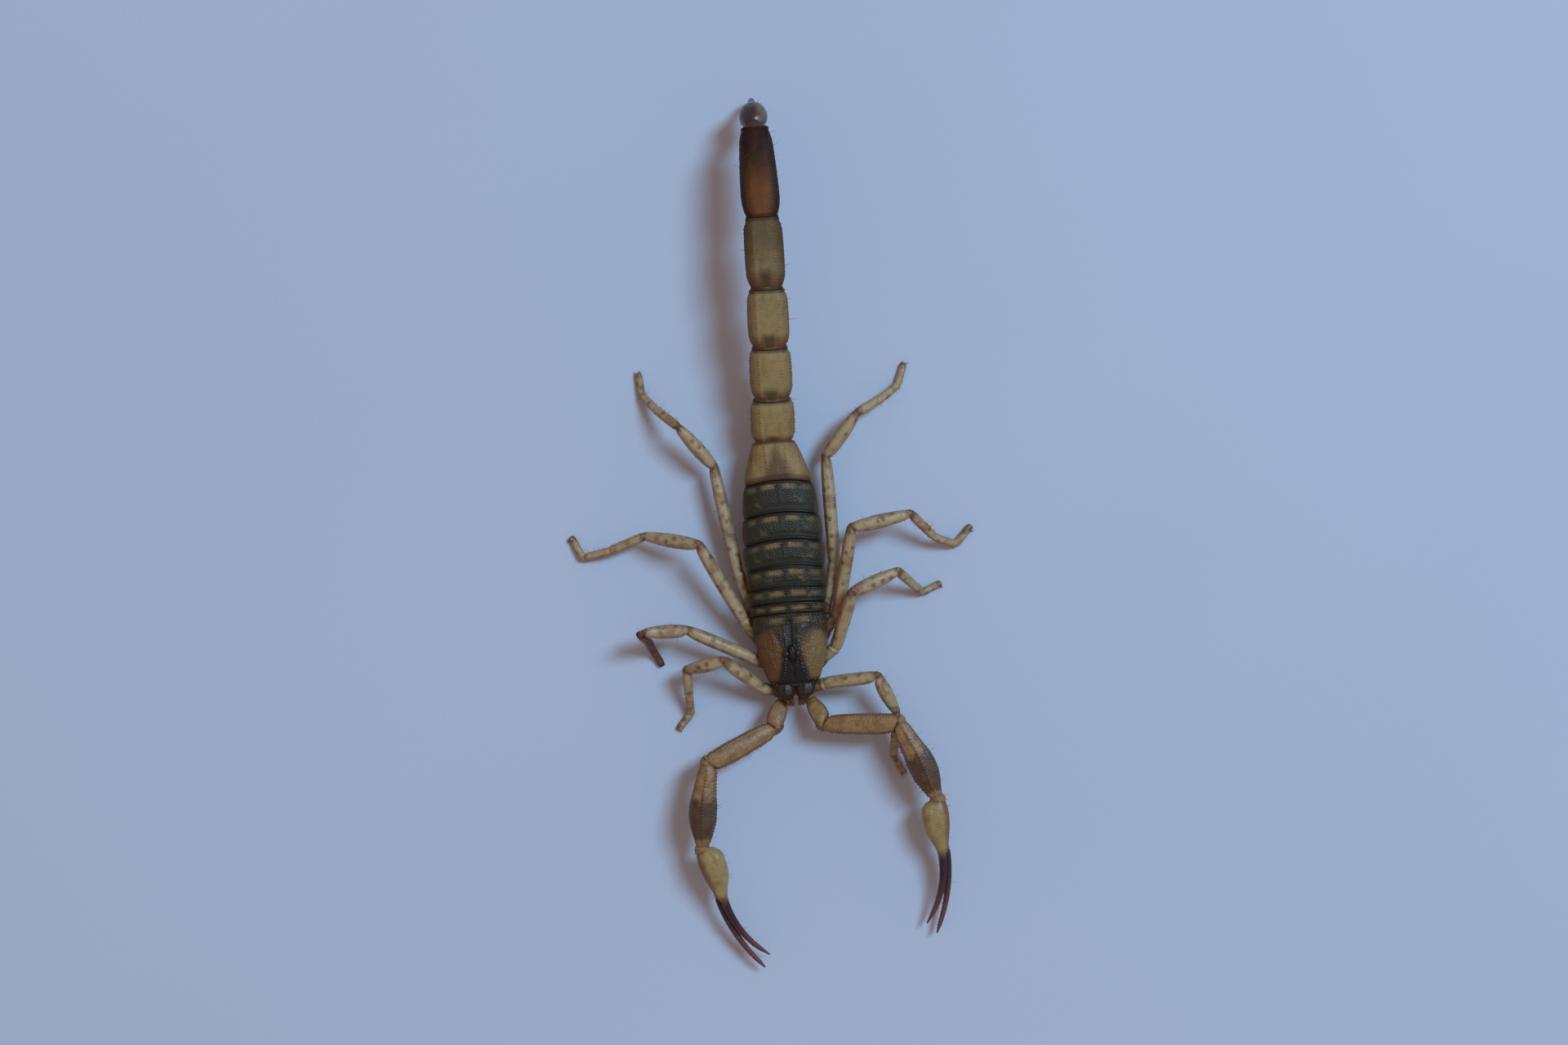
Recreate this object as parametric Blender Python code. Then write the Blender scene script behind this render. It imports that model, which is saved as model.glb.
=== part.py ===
"""Desert scorpion: a life-size, slender, thin-clawed scorpion that stands still.

The claws reach forward, eight legs stand on the floor, and the tail is stretched
out behind with the sting bent down. Each piece of shell is its own closed body.

Lengths here are millimetres, and MM turns them into Blender's metres. +Z is up,
-Y is towards the head and +X is the animal's left. X = 0 is the midline until the
last step, which puts the centre of the bounding box's underside at the origin.
Headings are degrees from straight ahead, positive to the animal's left, and
pitches are degrees up from level.
"""

import math
from collections import namedtuple

import bmesh
import bpy
from mathutils import Matrix, Vector

MM = 0.001
GAP = 0.3
EYE_GAP = 0.06
STEEPEST_LEAN = 0.8
UP = Vector((0.0, 0.0, 1.0))
AHEAD = Vector((0.0, -1.0, 0.0))
BACK = Vector((0.0, 1.0, 0.0))
SIDES = {"left": 1, "right": -1}

# Body: full widths and top heights at places along Y.
HEAD_FRONT = -16.0
HEAD_REAR = -8.8
TRUNK_WIDTHS = ((-16.0, 4.1), (-15.3, 5.0), (-12.6, 6.8), (-8.8, 7.4), (-1.6, 7.8), (3.6, 6.7), (7.9, 4.1))
TRUNK_TOPS = ((-16.0, 4.25), (-15.2, 4.7), (-12.8, 5.2), (-8.8, 5.1), (-2.0, 5.45), (3.6, 5.3), (7.9, 5.5))
PLATE_BASE = 3.3
TERGITE_LENGTHS = (1.0, 1.4, 1.9, 2.5, 2.6, 3.1)
BELLY = 1.4
BELLY_TOP = 3.0
BELLY_INSET = 0.75
BELLY_FRONT = -7.2
STERNITES = (3, 4, 5, 6)
COMB_FRONT = -8.0
COMB_TEETH = 9

# Tail: length, width and height of segments I to V, with each one's pitch and turn.
TAIL_ROOT = Vector((-0.13, 7.9, 3.9))
TailSegment = namedtuple("TailSegment", "length width height pitch heading")
TAIL = (
    TailSegment(4.35, 4.1, 3.3, 20, 177),
    TailSegment(5.15, 3.9, 3.1, 18, 178),
    TailSegment(5.65, 3.9, 3.1, 12, 178),
    TailSegment(6.8, 3.7, 2.9, 4, 179),
    TailSegment(8.9, 3.75, 2.8, -8, 180),
)
TAIL_TIP_WIDTH = 3.05
BULB_LENGTH, BULB_WIDTH, BULB_PITCH = 3.9, 2.75, -55
STING_LENGTH, STING_BEND, STING_TIP = 3.2, 65, 0.12

# Claws: lengths of trochanter, femur, patella and hand, with their pitches.
CLAW_ROOT = Vector((1.4, -17.45, 2.5))
CLAW_LENGTHS = (2.8, 7.1, 8.2, 5.1)
CLAW_PITCHES = (18, 11, -5, -11)
CLAW_HEADINGS = {"right": (-26, -66, -9, 16), "left": (28, 86, 23, 2)}
PATELLA_BOW, HAND_BULGE = 0.3, 0.3
Finger = namedtuple("Finger", "length bend start inward rise root")
FIXED_FINGER = Finger(7.3, 42, 0.6, 0.12, 0.32, 0.34)
MOVING_FINGER = Finger(8.5, 30, 0.3, -0.42, -0.42, 0.34)

# Legs: lengths of trochanter, femur, patella, tibia, basitarsus and telotarsus.
HIP_HEIGHT = 2.2
HIPS = {1: (1.9, -16.3), 2: (2.9, -13.6), 3: (3.5, -10.9), 4: (3.75, -8.4)}
LEG_LENGTHS = {
    1: (1.4, 5.2, 4.1, 3.0, 2.3, 1.8),
    2: (1.8, 6.6, 5.0, 3.2, 2.3, 1.9),
    3: (2.2, 8.6, 5.9, 4.2, 2.6, 2.2),
    4: (4.2, 10.4, 5.3, 3.6, 2.5, 2.1),
}
LegPose = namedtuple("LegPose", "headings pitches toe_pitch", defaults=(-9,))
LEG_POSES = {
    (1, "right"): LegPose((-107, -131, -80, 0, 0, -43), (20, 27, -23)),
    (1, "left"): LegPose((111, 93, 24, -6, -6, 27), (35, 15, -17)),
    (2, "right"): LegPose((-124, -118, -92, 35, 16, 26), (30, 8, 24), -36),
    (2, "left"): LegPose((129, 159, 110, 45, 46, 112), (12, 32, -14)),
    (3, "right"): LegPose((-152, -154, -104, -72, -82, -156), (18, 13, -24)),
    (3, "left"): LegPose((145, 166, 99, 42, 69, 137), (12, 15, -5)),
    (4, "right"): LegPose((-167, -172, -143, -133, -140, -175), (1, 3, 15)),
    (4, "left"): LegPose((165, 180, 140, 117, 125, 160), (1, 3, 13)),
}
SOLE_LENGTH = 0.7
TOE_RADIUS = 0.28

COLOURS = {
    "head_shell": ((0.085, 0.05, 0.03), 0.35),
    "back_shell": ((0.035, 0.035, 0.028), 0.4),
    "belly_shell": ((0.36, 0.26, 0.14), 0.45),
    "ring_shell": ((0.3, 0.22, 0.12), 0.4),
    "tail_shell": ((0.36, 0.27, 0.14), 0.4),
    "tail_end_shell": ((0.11, 0.05, 0.025), 0.35),
    "sting_shell": ((0.03, 0.02, 0.018), 0.25),
    "leg_shell": ((0.48, 0.38, 0.22), 0.4),
    "arm_shell": ((0.4, 0.26, 0.13), 0.4),
    "hand_shell": ((0.45, 0.33, 0.14), 0.38),
    "finger_shell": ((0.1, 0.035, 0.03), 0.3),
    "jaw_shell": ((0.09, 0.065, 0.04), 0.35),
    "comb_shell": ((0.5, 0.4, 0.25), 0.5),
    "eye_lens": ((0.008, 0.008, 0.008), 0.08),
}


def material(name):
    """The finish of one kind of shell."""
    found = bpy.data.materials.get(name)
    if found:
        return found
    colour, roughness = COLOURS[name]
    made = bpy.data.materials.new(name)
    made.use_nodes = True
    shader = made.node_tree.nodes["Principled BSDF"]
    shader.inputs["Base Color"].default_value = (*colour, 1.0)
    shader.inputs["Roughness"].default_value = roughness
    shader.inputs["Metallic"].default_value = 0.0
    return made


def smooth(knots, place):
    """A smooth curve's value at a place, through knots of (place, value)."""
    knots = [knots[0], *knots, knots[-1]]
    for before, start, end, after in zip(knots, knots[1:], knots[2:], knots[3:]):
        if place <= end[0]:
            break
    span = end[0] - start[0]
    leaving = (end[1] - before[1]) / (end[0] - before[0]) * span
    arriving = (after[1] - start[1]) / (after[0] - start[0]) * span
    t = (place - start[0]) / span
    steady = start[1] * (2 * t**3 - 3 * t**2 + 1) + end[1] * (3 * t**2 - 2 * t**3)
    return steady + leaving * (t**3 - 2 * t**2 + t) + arriving * (t**3 - t**2)


def direction(heading, pitch):
    """The unit vector of a heading and a pitch."""
    turn, rise = math.radians(heading), math.radians(pitch)
    return Vector((math.sin(turn) * math.cos(rise), -math.cos(turn) * math.cos(rise), math.sin(rise)))


# Cross-sections, as outlines that reach 1 to each side of the middle.


def oval(sides, squareness=2.0):
    """A closed oval with a flat facing down."""
    power = 2 / squareness
    points = []
    for step in range(sides):
        angle = math.tau * (step + 0.5) / sides
        u, v = math.cos(angle), math.sin(angle)
        points.append((math.copysign(abs(u) ** power, u), math.copysign(abs(v) ** power, v)))
    widest = max(u for u, _ in points)
    highest = max(v for _, v in points)
    return [(u / widest, v / highest) for u, v in points]


def dome(sides, squareness=2.4):
    """An arch from 0 up to 1 over a flat base."""
    power = 2 / squareness
    points = []
    for step in range(sides + 1):
        angle = math.pi * step / sides
        u, v = math.cos(angle), math.sin(angle)
        points.append((math.copysign(abs(u) ** power, u), abs(v) ** power))
    return points


def bowl(sides, squareness=2.4):
    """A flat top over an arch from 0 down to -1."""
    return [(u, -v) for u, v in dome(sides, squareness)]


# Making bodies.


def ring(outline, centre, along, half_width, half_height, lean=None):
    """The outline laid across a direction. A lean tilts it onto a joint's plane."""
    side = along.cross(UP).normalized()
    up = side.cross(along)
    points = []
    for u, v in outline:
        offset = side * u * half_width + up * v * half_height
        slide = offset.dot(lean) if lean else 0.0
        points.append(centre + offset - along * slide)
    return points


def loft(name, rings, finish, origin, along, root):
    """An object whose skin runs through the rings, with flat ends."""
    shape = bmesh.new()
    start = shape.faces.new([shape.verts.new(point) for point in rings[0]])
    end = start
    for points in rings[1:]:
        made = bmesh.ops.extrude_face_region(shape, geom=[end], use_keep_orig=True)
        if end is not start:
            shape.faces.remove(end)
        end = next(item for item in made["geom"] if isinstance(item, bmesh.types.BMFace))
        for vert, point in zip(end.verts, points):
            vert.co = point
    bmesh.ops.recalc_face_normals(shape, faces=shape.faces)
    return finished(name, shape, finish, origin, along, root)


def finished(name, shape, finish, origin, along, root):
    """The object of a mesh given in millimetres, with its own origin and axis."""
    turn = (-along if along.y < 0 else along).to_track_quat("Y", "Z").to_matrix().to_4x4()
    place = Matrix.Translation(origin) @ turn
    shape.transform(Matrix.Scale(MM, 4) @ place.inverted())
    mesh = bpy.data.meshes.new(name)
    shape.to_mesh(mesh)
    shape.free()
    mesh.materials.append(material(finish))
    mesh.shade_smooth()
    mesh.set_sharp_from_angle(angle=math.radians(40))
    piece = bpy.data.objects.new(name, mesh)
    bpy.context.collection.objects.link(piece)
    piece.parent = root
    piece.location = origin * MM
    piece.rotation_euler = turn.to_euler()
    return piece


def walk(start, lengths, directions):
    """The joints of a limb, from its root to its tip."""
    joints = [start]
    for length, along in zip(lengths, directions):
        joints.append(joints[-1] + along * length)
    return joints


def joint_lean(along, neighbour):
    """How a ring leans onto the plane halfway between two segments, and what is cut off the lean."""
    if neighbour is None:
        return Vector(), 0.0
    normal = (along + neighbour).normalized()
    lean = normal / along.dot(normal) - along
    excess = max(0.0, lean.length - STEEPEST_LEAN)
    if excess:
        lean = lean.normalized() * STEEPEST_LEAN
    return lean, excess


def segment_rings(outline, start, end, profile, before=None, after=None, opens=(True, True)):
    """Rings of one straight segment. The profile lists (fraction, half width, half height),
    and an open end stops short of its joint by half a gap."""
    along = (end - start).normalized()
    length = (end - start).length
    leans = []
    trims = []
    ends = (profile[0], profile[-1])
    for neighbour, opening, (_, half_width, _) in zip((before, after), opens, ends):
        lean, excess = joint_lean(along, neighbour)
        leans.append(lean)
        trims.append(opening * GAP / 2 * (1 + lean.length**2) ** 0.5 + excess * half_width)
    usable = length - sum(trims)
    rings = []
    for fraction, half_width, half_height in profile:
        reach = fraction * usable
        fade = 1.6 * half_width
        near_start = max(0.0, 1 - reach / fade)
        near_end = max(0.0, 1 - (usable - reach) / fade)
        lean = leans[0] * near_start + leans[1] * near_end
        centre = start + along * (trims[0] + reach)
        rings.append(ring(outline, centre, along, half_width, half_height, lean))
    return rings


def cut(piece, cutter, operation="DIFFERENCE"):
    """Cuts or joins one object with another, which then only guides it."""
    change = piece.modifiers.new(cutter.name, "BOOLEAN")
    change.operation = operation
    change.object = cutter
    cutter.hide_render = True
    cutter.display_type = "WIRE"


# The trunk.


def plate_rings(outline, base, front, rear, swells, inset=0.0, depth=None):
    """Rings of a plate that follows the trunk's width, and its top unless a depth is given."""
    rings = []
    for fraction, swell in swells:
        place = front + (rear - front) * fraction
        half_width = (smooth(TRUNK_WIDTHS, place) / 2 - inset) * swell
        height = depth or (smooth(TRUNK_TOPS, place) - base) * swell
        rings.append(ring(outline, Vector((0, place, base)), BACK, half_width, height))
    return rings


def carapace(root):
    """The head shield, with the low hump that carries the middle eyes."""
    swells = ((0, 0.97), (0.1, 1), (0.25, 1), (0.45, 1), (0.7, 1), (1, 1))
    rear = HEAD_REAR - GAP
    rings = plate_rings(dome(16), PLATE_BASE, HEAD_FRONT, rear, swells)
    shield = loft("carapace", rings, "head_shell", Vector((0, rear, PLATE_BASE)), BACK, root)
    hump_at = Vector((0, -12.7, 5.05))
    shape = bmesh.new()
    bmesh.ops.create_uvsphere(shape, u_segments=12, v_segments=7, radius=1)
    shape.transform(Matrix.Translation(hump_at) @ Matrix.Diagonal((0.45, 0.95, 0.5, 1)))
    hump = finished("eye_hump", shape, "head_shell", hump_at, BACK, root)
    cut(shield, hump, "UNION")
    for side, sign in SIDES.items():
        eye_at = hump_at + Vector((sign * (0.5 + EYE_GAP), 0.05, 0.42))
        shape = bmesh.new()
        bmesh.ops.create_icosphere(shape, subdivisions=2, radius=0.26)
        shape.transform(Matrix.Translation(eye_at))
        finished(f"eye_{side}", shape, "eye_lens", eye_at, BACK, root)


def jaws(root):
    """The two chelicerae: a short hand with a fixed and a hooked finger."""
    for side, sign in SIDES.items():
        start = Vector((sign * 0.84, HEAD_FRONT - GAP, 3.88))
        rings = []
        hand = ((0, 0.6, 0.45), (0.3, 0.7, 0.52), (0.8, 0.66, 0.5), (1, 0.5, 0.4))
        for reach, half_width, half_height in hand:
            rings.append(ring(oval(10), start + AHEAD * reach, AHEAD, half_width, half_height))
        jaw = loft(f"chelicera_{side}", rings, "jaw_shell", start, AHEAD, root)
        for finger, inward, heading in (("fixed", 0.22, 0), ("hooked", -0.24, -12)):
            along = direction(sign * heading, -6)
            base = start + AHEAD * 0.75 + Vector((-sign * inward, 0, 0))
            tips = []
            for reach, radius in ((0, 0.25), (0.45, 0.22), (0.78, 0.1)):
                tips.append(ring(oval(6), base + along * reach, along, radius, radius))
            cut(jaw, loft(f"{finger}_jaw_finger_{side}", tips, "jaw_shell", base, along, root), "UNION")


def underside_of_head(root):
    """Coxae and sternum in one piece: a lobe for each coxa just ahead of each hip."""
    stations = [(-17.0, 0.7)]
    for number, (hip_x, hip_y) in HIPS.items():
        lobe_ahead = 0.9 if number > 1 else 0.35
        if number > 1:
            stations.append((hip_y - lobe_ahead, hip_x - 0.15))
        stations.append((hip_y, hip_x - 0.85))
    stations.append((-7.5, 1.6))
    rings = []
    for place, half_width in stations:
        centre = Vector((0, place, BELLY_TOP - 0.05))
        rings.append(ring(bowl(10, 2.8), centre, BACK, half_width, 1.45))
    loft("coxosternum", rings, "belly_shell", Vector((0, stations[0][0], BELLY)), BACK, root)


def trunk(root):
    """Six back plates, four belly plates and the closed seventh ring."""
    front = HEAD_REAR
    swells = ((0, 0.96), (0.25, 1), (0.85, 1.015), (1, 0.985))
    for number, length in enumerate(TERGITE_LENGTHS, start=1):
        rear = front + length - GAP
        rings = plate_rings(dome(14), PLATE_BASE, front, rear, swells)
        loft(f"tergite_{number}", rings, "back_shell", Vector((0, front, PLATE_BASE)), BACK, root)
        front += length
    sternite_length = (front - BELLY_FRONT) / len(STERNITES)
    for order, number in enumerate(STERNITES):
        belly_front = BELLY_FRONT + order * sternite_length
        rear = belly_front + sternite_length - GAP
        depth = BELLY_TOP - BELLY
        belly_swells = ((0, 0.97), (0.9, 1), (1, 0.98))
        rings = plate_rings(bowl(10), BELLY_TOP, belly_front, rear, belly_swells, BELLY_INSET, depth)
        loft(f"sternite_{number}", rings, "belly_shell", Vector((0, belly_front, BELLY_TOP)), BACK, root)
    rear = TAIL_ROOT.y - GAP / 2
    rings = []
    for fraction in (0, 0.08, 0.3, 0.55, 0.8, 0.94, 1):
        place = front + (rear - front) * fraction
        top = smooth(TRUNK_TOPS, place)
        bottom = BELLY + (TAIL_ROOT.z - 1.5 - BELLY) * fraction**1.5
        ease = 0.94 if fraction in (0, 1) else 1.0
        centre = Vector((TAIL_ROOT.x * fraction, place, (top + bottom) / 2))
        half_width = smooth(TRUNK_WIDTHS, place) / 2 * ease
        rings.append(ring(oval(18, 2.5), centre, BACK, half_width, (top - bottom) / 2 * ease))
    loft("mesosoma_7", rings, "ring_shell", Vector((0, front, PLATE_BASE)), BACK, root)


def combs(root):
    """The two pectines: flat combs under the belly, their teeth to the rear."""
    length, depth, thickness, tooth = 3.0, 0.55, 0.5, 0.6
    pitch = length / COMB_TEETH
    for side, sign in SIDES.items():
        outline = [(0.0, 0.0), (length * 0.5, -0.12), (length + 0.15, 0.3)]
        for step in reversed(range(COMB_TEETH)):
            middle = (step + 0.5) * pitch
            fade = 1 - 0.35 * step / COMB_TEETH
            outline.append((middle + 0.32 * pitch, depth))
            outline.append((middle + 0.1 * pitch, depth + tooth * fade))
            outline.append((middle - 0.3 * pitch, depth + tooth * fade))
            outline.append((middle - 0.42 * pitch, depth))
        sweep = math.radians(20)
        shape = bmesh.new()
        corners = []
        for out, rear in outline:
            x = 0.45 + out * math.cos(sweep) - rear * math.sin(sweep) * 0.4
            y = COMB_FRONT + out * math.sin(sweep) + rear
            corners.append(shape.verts.new((sign * x, y, BELLY - GAP - thickness)))
        base = shape.faces.new(corners)
        made = bmesh.ops.extrude_face_region(shape, geom=[base], use_keep_orig=True)
        tops = [item for item in made["geom"] if isinstance(item, bmesh.types.BMVert)]
        bmesh.ops.translate(shape, verts=tops, vec=UP * thickness)
        bmesh.ops.recalc_face_normals(shape, faces=shape.faces)
        origin = Vector((sign * 0.45, COMB_FRONT, BELLY - GAP))
        finished(f"pectine_{side}", shape, "comb_shell", origin, BACK, root)


# The tail.


def tail(root):
    """Five segments, the bulb and the curved sting."""
    directions = [direction(segment.heading, segment.pitch) for segment in TAIL]
    bulb_along = direction(-178, BULB_PITCH)
    joints = walk(TAIL_ROOT, [segment.length for segment in TAIL], directions)
    neighbours = [BACK, *directions, bulb_along]
    for number, segment in enumerate(TAIL, start=1):
        half_width, half_height = segment.width / 2, segment.height / 2
        tip = TAIL_TIP_WIDTH / segment.width if number == len(TAIL) else 1.0
        profile = []
        for fraction, swell in ((0, 0.84), (0.08, 0.95), (0.3, 1), (0.6, 0.99), (0.88, 0.98), (1, 0.88)):
            taper = 1 + (tip - 1) * max(0.0, fraction - 0.2) / 0.8
            profile.append((fraction, half_width * swell * taper, half_height * swell * (1 + taper) / 2))
        rings = segment_rings(
            oval(14, 2.7), joints[number - 1], joints[number], profile, neighbours[number - 1],
            None if number == len(TAIL) else neighbours[number + 1],
        )
        finish = "tail_end_shell" if number == len(TAIL) else "tail_shell"
        loft(f"metasoma_{number}", rings, finish, joints[number - 1], directions[number - 1], root)
    bulb_start = joints[-1] + directions[-1] * GAP + UP * -0.35
    bulb_end = bulb_start + bulb_along * BULB_LENGTH
    radius = BULB_WIDTH / 2
    profile = [(f, radius * w, radius * w * 0.96) for f, w in
               ((0, 0.42), (0.1, 0.7), (0.3, 0.96), (0.5, 1), (0.7, 0.88), (0.86, 0.6), (1, 0.3))]
    rings = segment_rings(oval(12), bulb_start, bulb_end, profile)
    loft("telson_bulb", rings, "sting_shell", bulb_start, bulb_along, root)
    rings = []
    steps = 7
    place = bulb_end + bulb_along * GAP / 2
    for step in range(steps + 1):
        along = direction(-178, BULB_PITCH - STING_BEND * step / steps)
        radius = 0.34 + (STING_TIP - 0.34) * (step / steps) ** 0.8
        rings.append(ring(oval(8), place, along, radius, radius))
        place = place + along * STING_LENGTH / steps
    loft("telson_sting", rings, "sting_shell", bulb_end, bulb_along, root)


# The claws.


def finger_rings(finger, hand_end, along, inner, up):
    """Rings of a finger that curves inwards, tapering to a blunt tip."""
    steps = 7
    centre = hand_end + along * finger.start + inner * finger.inward + up * finger.rise
    rings = []
    for step in range(steps + 1):
        turn = math.radians(finger.bend) * step / steps
        heading = along * math.cos(turn) + inner * math.sin(turn)
        radius = finger.root * (1 - 0.55 * (step / steps) ** 1.5)
        rings.append(ring(oval(8), centre, heading, radius, radius * 1.1))
        centre = centre + heading * finger.length / steps - up * finger.rise * 0.85 / steps
    return rings


def bow(rings, profile, most):
    """Bends a segment's middle aside."""
    for points, (fraction, _, _) in zip(rings, profile):
        shift = most * math.sin(math.pi * fraction)
        points[:] = [point + shift for point in points]


def claw(side, root):
    """One pedipalp, from its trochanter to its two fingers."""
    sign = SIDES[side]
    directions = [direction(*angles) for angles in zip(CLAW_HEADINGS[side], CLAW_PITCHES)]
    start = Vector((sign * CLAW_ROOT.x, CLAW_ROOT.y, CLAW_ROOT.z))
    joints = walk(start, CLAW_LENGTHS, directions)
    profiles = {
        "trochanter": ((0, 0.55, 0.55), (0.3, 0.82, 0.8), (0.75, 0.88, 0.85), (1, 0.7, 0.7)),
        "femur": ((0, 0.68, 0.66), (0.12, 0.85, 0.8), (0.5, 0.95, 0.86), (0.85, 0.95, 0.85), (1, 0.74, 0.7)),
        "patella": ((0, 0.66, 0.64), (0.1, 0.88, 0.84), (0.28, 0.98, 0.95), (0.42, 1.22, 1.05),
                    (0.6, 1.34, 1.08), (0.78, 1.14, 1.0), (0.91, 0.72, 0.78), (1, 0.6, 0.62)),
    }
    outward = AHEAD.cross(UP) * -sign
    for index, (part, profile) in enumerate(profiles.items()):
        before = directions[index - 1] if index else None
        rings = segment_rings(
            oval(12, 2.5), joints[index], joints[index + 1], profile, before, directions[index + 1]
        )
        if part == "patella":
            bow(rings, profile, outward * PATELLA_BOW)
        loft(f"claw_{side}_{part}", rings, "arm_shell", joints[index], directions[index], root)
    along = directions[3]
    inner = along.cross(UP).normalized() * sign
    up = UP - along * along.dot(UP)
    hand = ((0, 0.58, 0.6), (0.1, 0.95, 0.85), (0.28, 1.24, 1.05), (0.5, 1.3, 1.1),
            (0.72, 1.05, 0.98), (0.9, 0.72, 0.85), (1, 0.58, 0.76))
    rings = segment_rings(
        oval(12, 2.2), joints[3], joints[4], hand, directions[2], None, (True, False)
    )
    bow(rings, hand, inner * HAND_BULGE)
    fixed = finger_rings(FIXED_FINGER, joints[4], along, inner, up)
    fixed = [resampled(points, len(rings[0])) for points in fixed]
    loft(f"claw_{side}_hand", rings + fixed, "hand_shell", joints[3], along, root)
    moving = finger_rings(MOVING_FINGER, joints[4], along, inner, up)
    loft(f"claw_{side}_moving_finger", moving, "finger_shell", joints[4], along, root)


def resampled(points, count):
    """The same outline with another number of points."""
    found = []
    for step in range(count):
        place = (step + 0.5) / count * len(points) - 0.5
        low = math.floor(place)
        found.append(points[low % len(points)].lerp(points[(low + 1) % len(points)], place - low))
    return found


# The legs.


def leg(number, side, root):
    """One leg in three pieces: trochanter and femur, patella, and the foot on its flat sole."""
    pose = LEG_POSES[number, side]
    lengths = LEG_LENGTHS[number]
    hip_x, hip_y = HIPS[number]
    hip = Vector((SIDES[side] * hip_x, hip_y, HIP_HEIGHT))
    upper = [direction(*angles) for angles in zip(pose.headings, pose.pitches)]
    joints = walk(hip, lengths[:3], upper)
    toe_slope = lengths[5] - SOLE_LENGTH
    ankle_height = TOE_RADIUS - toe_slope * math.sin(math.radians(pose.toe_pitch))
    shin_pitch = -math.degrees(math.asin((joints[3].z - ankle_height) / (lengths[3] + lengths[4])))
    lower = [
        direction(pose.headings[3], shin_pitch),
        direction(pose.headings[4], shin_pitch),
        direction(pose.headings[5], pose.toe_pitch),
        direction(pose.headings[5], 0),
    ]
    joints += walk(joints[3], (lengths[3], lengths[4], toe_slope, SOLE_LENGTH), lower)[1:]
    along = upper + lower
    octagon = oval(8)
    trochanter = ((0, 0.4, 0.42), (0.5, 0.52, 0.55), (1, 0.5, 0.52))
    femur = ((0.1, 0.54, 0.6), (0.5, 0.58, 0.68), (0.85, 0.55, 0.62), (1, 0.42, 0.46))
    patella = ((0, 0.4, 0.44), (0.12, 0.55, 0.6), (0.45, 0.65, 0.7), (0.8, 0.52, 0.58), (1, 0.36, 0.4))
    tibia = ((0, 0.34, 0.36), (0.2, 0.4, 0.42), (0.8, 0.36, 0.38))
    basitarsus = ((0, 0.33, 0.34), (0.5, 0.32, 0.32), (0.9, 0.3, 0.3))
    toe = ((0, 0.29, 0.29), (0.5, TOE_RADIUS, TOE_RADIUS))
    name = f"leg_{number}_{side}"
    rings = segment_rings(octagon, joints[0], joints[1], trochanter, None, along[1], (True, False))
    rings += segment_rings(octagon, joints[1], joints[2], femur, along[0], along[2], (False, True))
    loft(f"{name}_femur", rings, "leg_shell", joints[0], along[1], root)
    rings = segment_rings(octagon, joints[2], joints[3], patella, along[1], along[3])
    loft(f"{name}_patella", rings, "leg_shell", joints[2], along[2], root)
    rings = segment_rings(octagon, joints[3], joints[4], tibia, along[2], None, (True, False))
    rings += segment_rings(octagon, joints[4], joints[5], basitarsus, along[3], None, (False, False))
    rings += segment_rings(octagon, joints[5], joints[6], toe, along[4], None, (False, False))
    for place, radius in ((joints[6], TOE_RADIUS), (joints[7], TOE_RADIUS)):
        rings.append(ring(octagon, place, along[6], radius, radius))
    loft(f"{name}_foot", rings, "leg_shell", joints[3], along[3], root)


# Putting it together.


def clear_scene():
    for thing in list(bpy.data.objects):
        bpy.data.objects.remove(thing)


def centre_on_floor(root):
    """Moves the whole animal so that its bounding box stands centred on the origin."""
    bpy.context.view_layer.update()
    corners = []
    for piece in root.children:
        if not piece.hide_render:
            corners += [piece.matrix_world @ vert.co for vert in piece.data.vertices]
    low = Vector([min(corner[axis] for corner in corners) for axis in range(3)])
    high = Vector([max(corner[axis] for corner in corners) for axis in range(3)])
    root.location = -Vector(((low.x + high.x) / 2, (low.y + high.y) / 2, low.z))


def main():
    clear_scene()
    root = bpy.data.objects.new("scorpion", None)
    bpy.context.collection.objects.link(root)
    carapace(root)
    jaws(root)
    underside_of_head(root)
    trunk(root)
    combs(root)
    tail(root)
    for side in SIDES:
        claw(side, root)
        for number in HIPS:
            leg(number, side, root)
    centre_on_floor(root)


main()
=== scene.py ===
import math

import bpy
import numpy as np
from mathutils import Matrix, Vector


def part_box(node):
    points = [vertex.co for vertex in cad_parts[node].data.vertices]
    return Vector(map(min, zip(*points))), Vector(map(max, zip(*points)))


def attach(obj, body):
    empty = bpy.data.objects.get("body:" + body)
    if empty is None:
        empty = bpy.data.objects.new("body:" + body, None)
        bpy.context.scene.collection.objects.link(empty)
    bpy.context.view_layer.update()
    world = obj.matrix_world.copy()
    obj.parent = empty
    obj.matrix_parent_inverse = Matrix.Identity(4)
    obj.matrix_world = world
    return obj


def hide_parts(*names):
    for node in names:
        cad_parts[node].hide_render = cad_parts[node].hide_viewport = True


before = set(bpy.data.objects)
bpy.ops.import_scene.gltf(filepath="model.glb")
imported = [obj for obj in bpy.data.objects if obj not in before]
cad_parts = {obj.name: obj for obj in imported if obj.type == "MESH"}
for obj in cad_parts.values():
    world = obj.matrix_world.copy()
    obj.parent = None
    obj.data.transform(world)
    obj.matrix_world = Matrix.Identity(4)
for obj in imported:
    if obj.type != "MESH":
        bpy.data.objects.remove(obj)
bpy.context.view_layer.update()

bl_info = {
    "name": "Desert scorpion",
    "version": (1, 0, 0),
    "blender": (4, 5, 0),
    "location": "View3D > Sidebar > Scorpion",
    "description": "Gives the scorpion's solids their shell, skin, eyes, bristles and finishes",
    "category": "Object",
}

# The solids come in metres. Pieces are shaped in millimetres and brought back at the end.
MM = 0.001
SIDES = {"left": 1, "right": -1}
LEGS = (1, 2, 3, 4)
UP = Vector((0.0, 0.0, 1.0))


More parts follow.
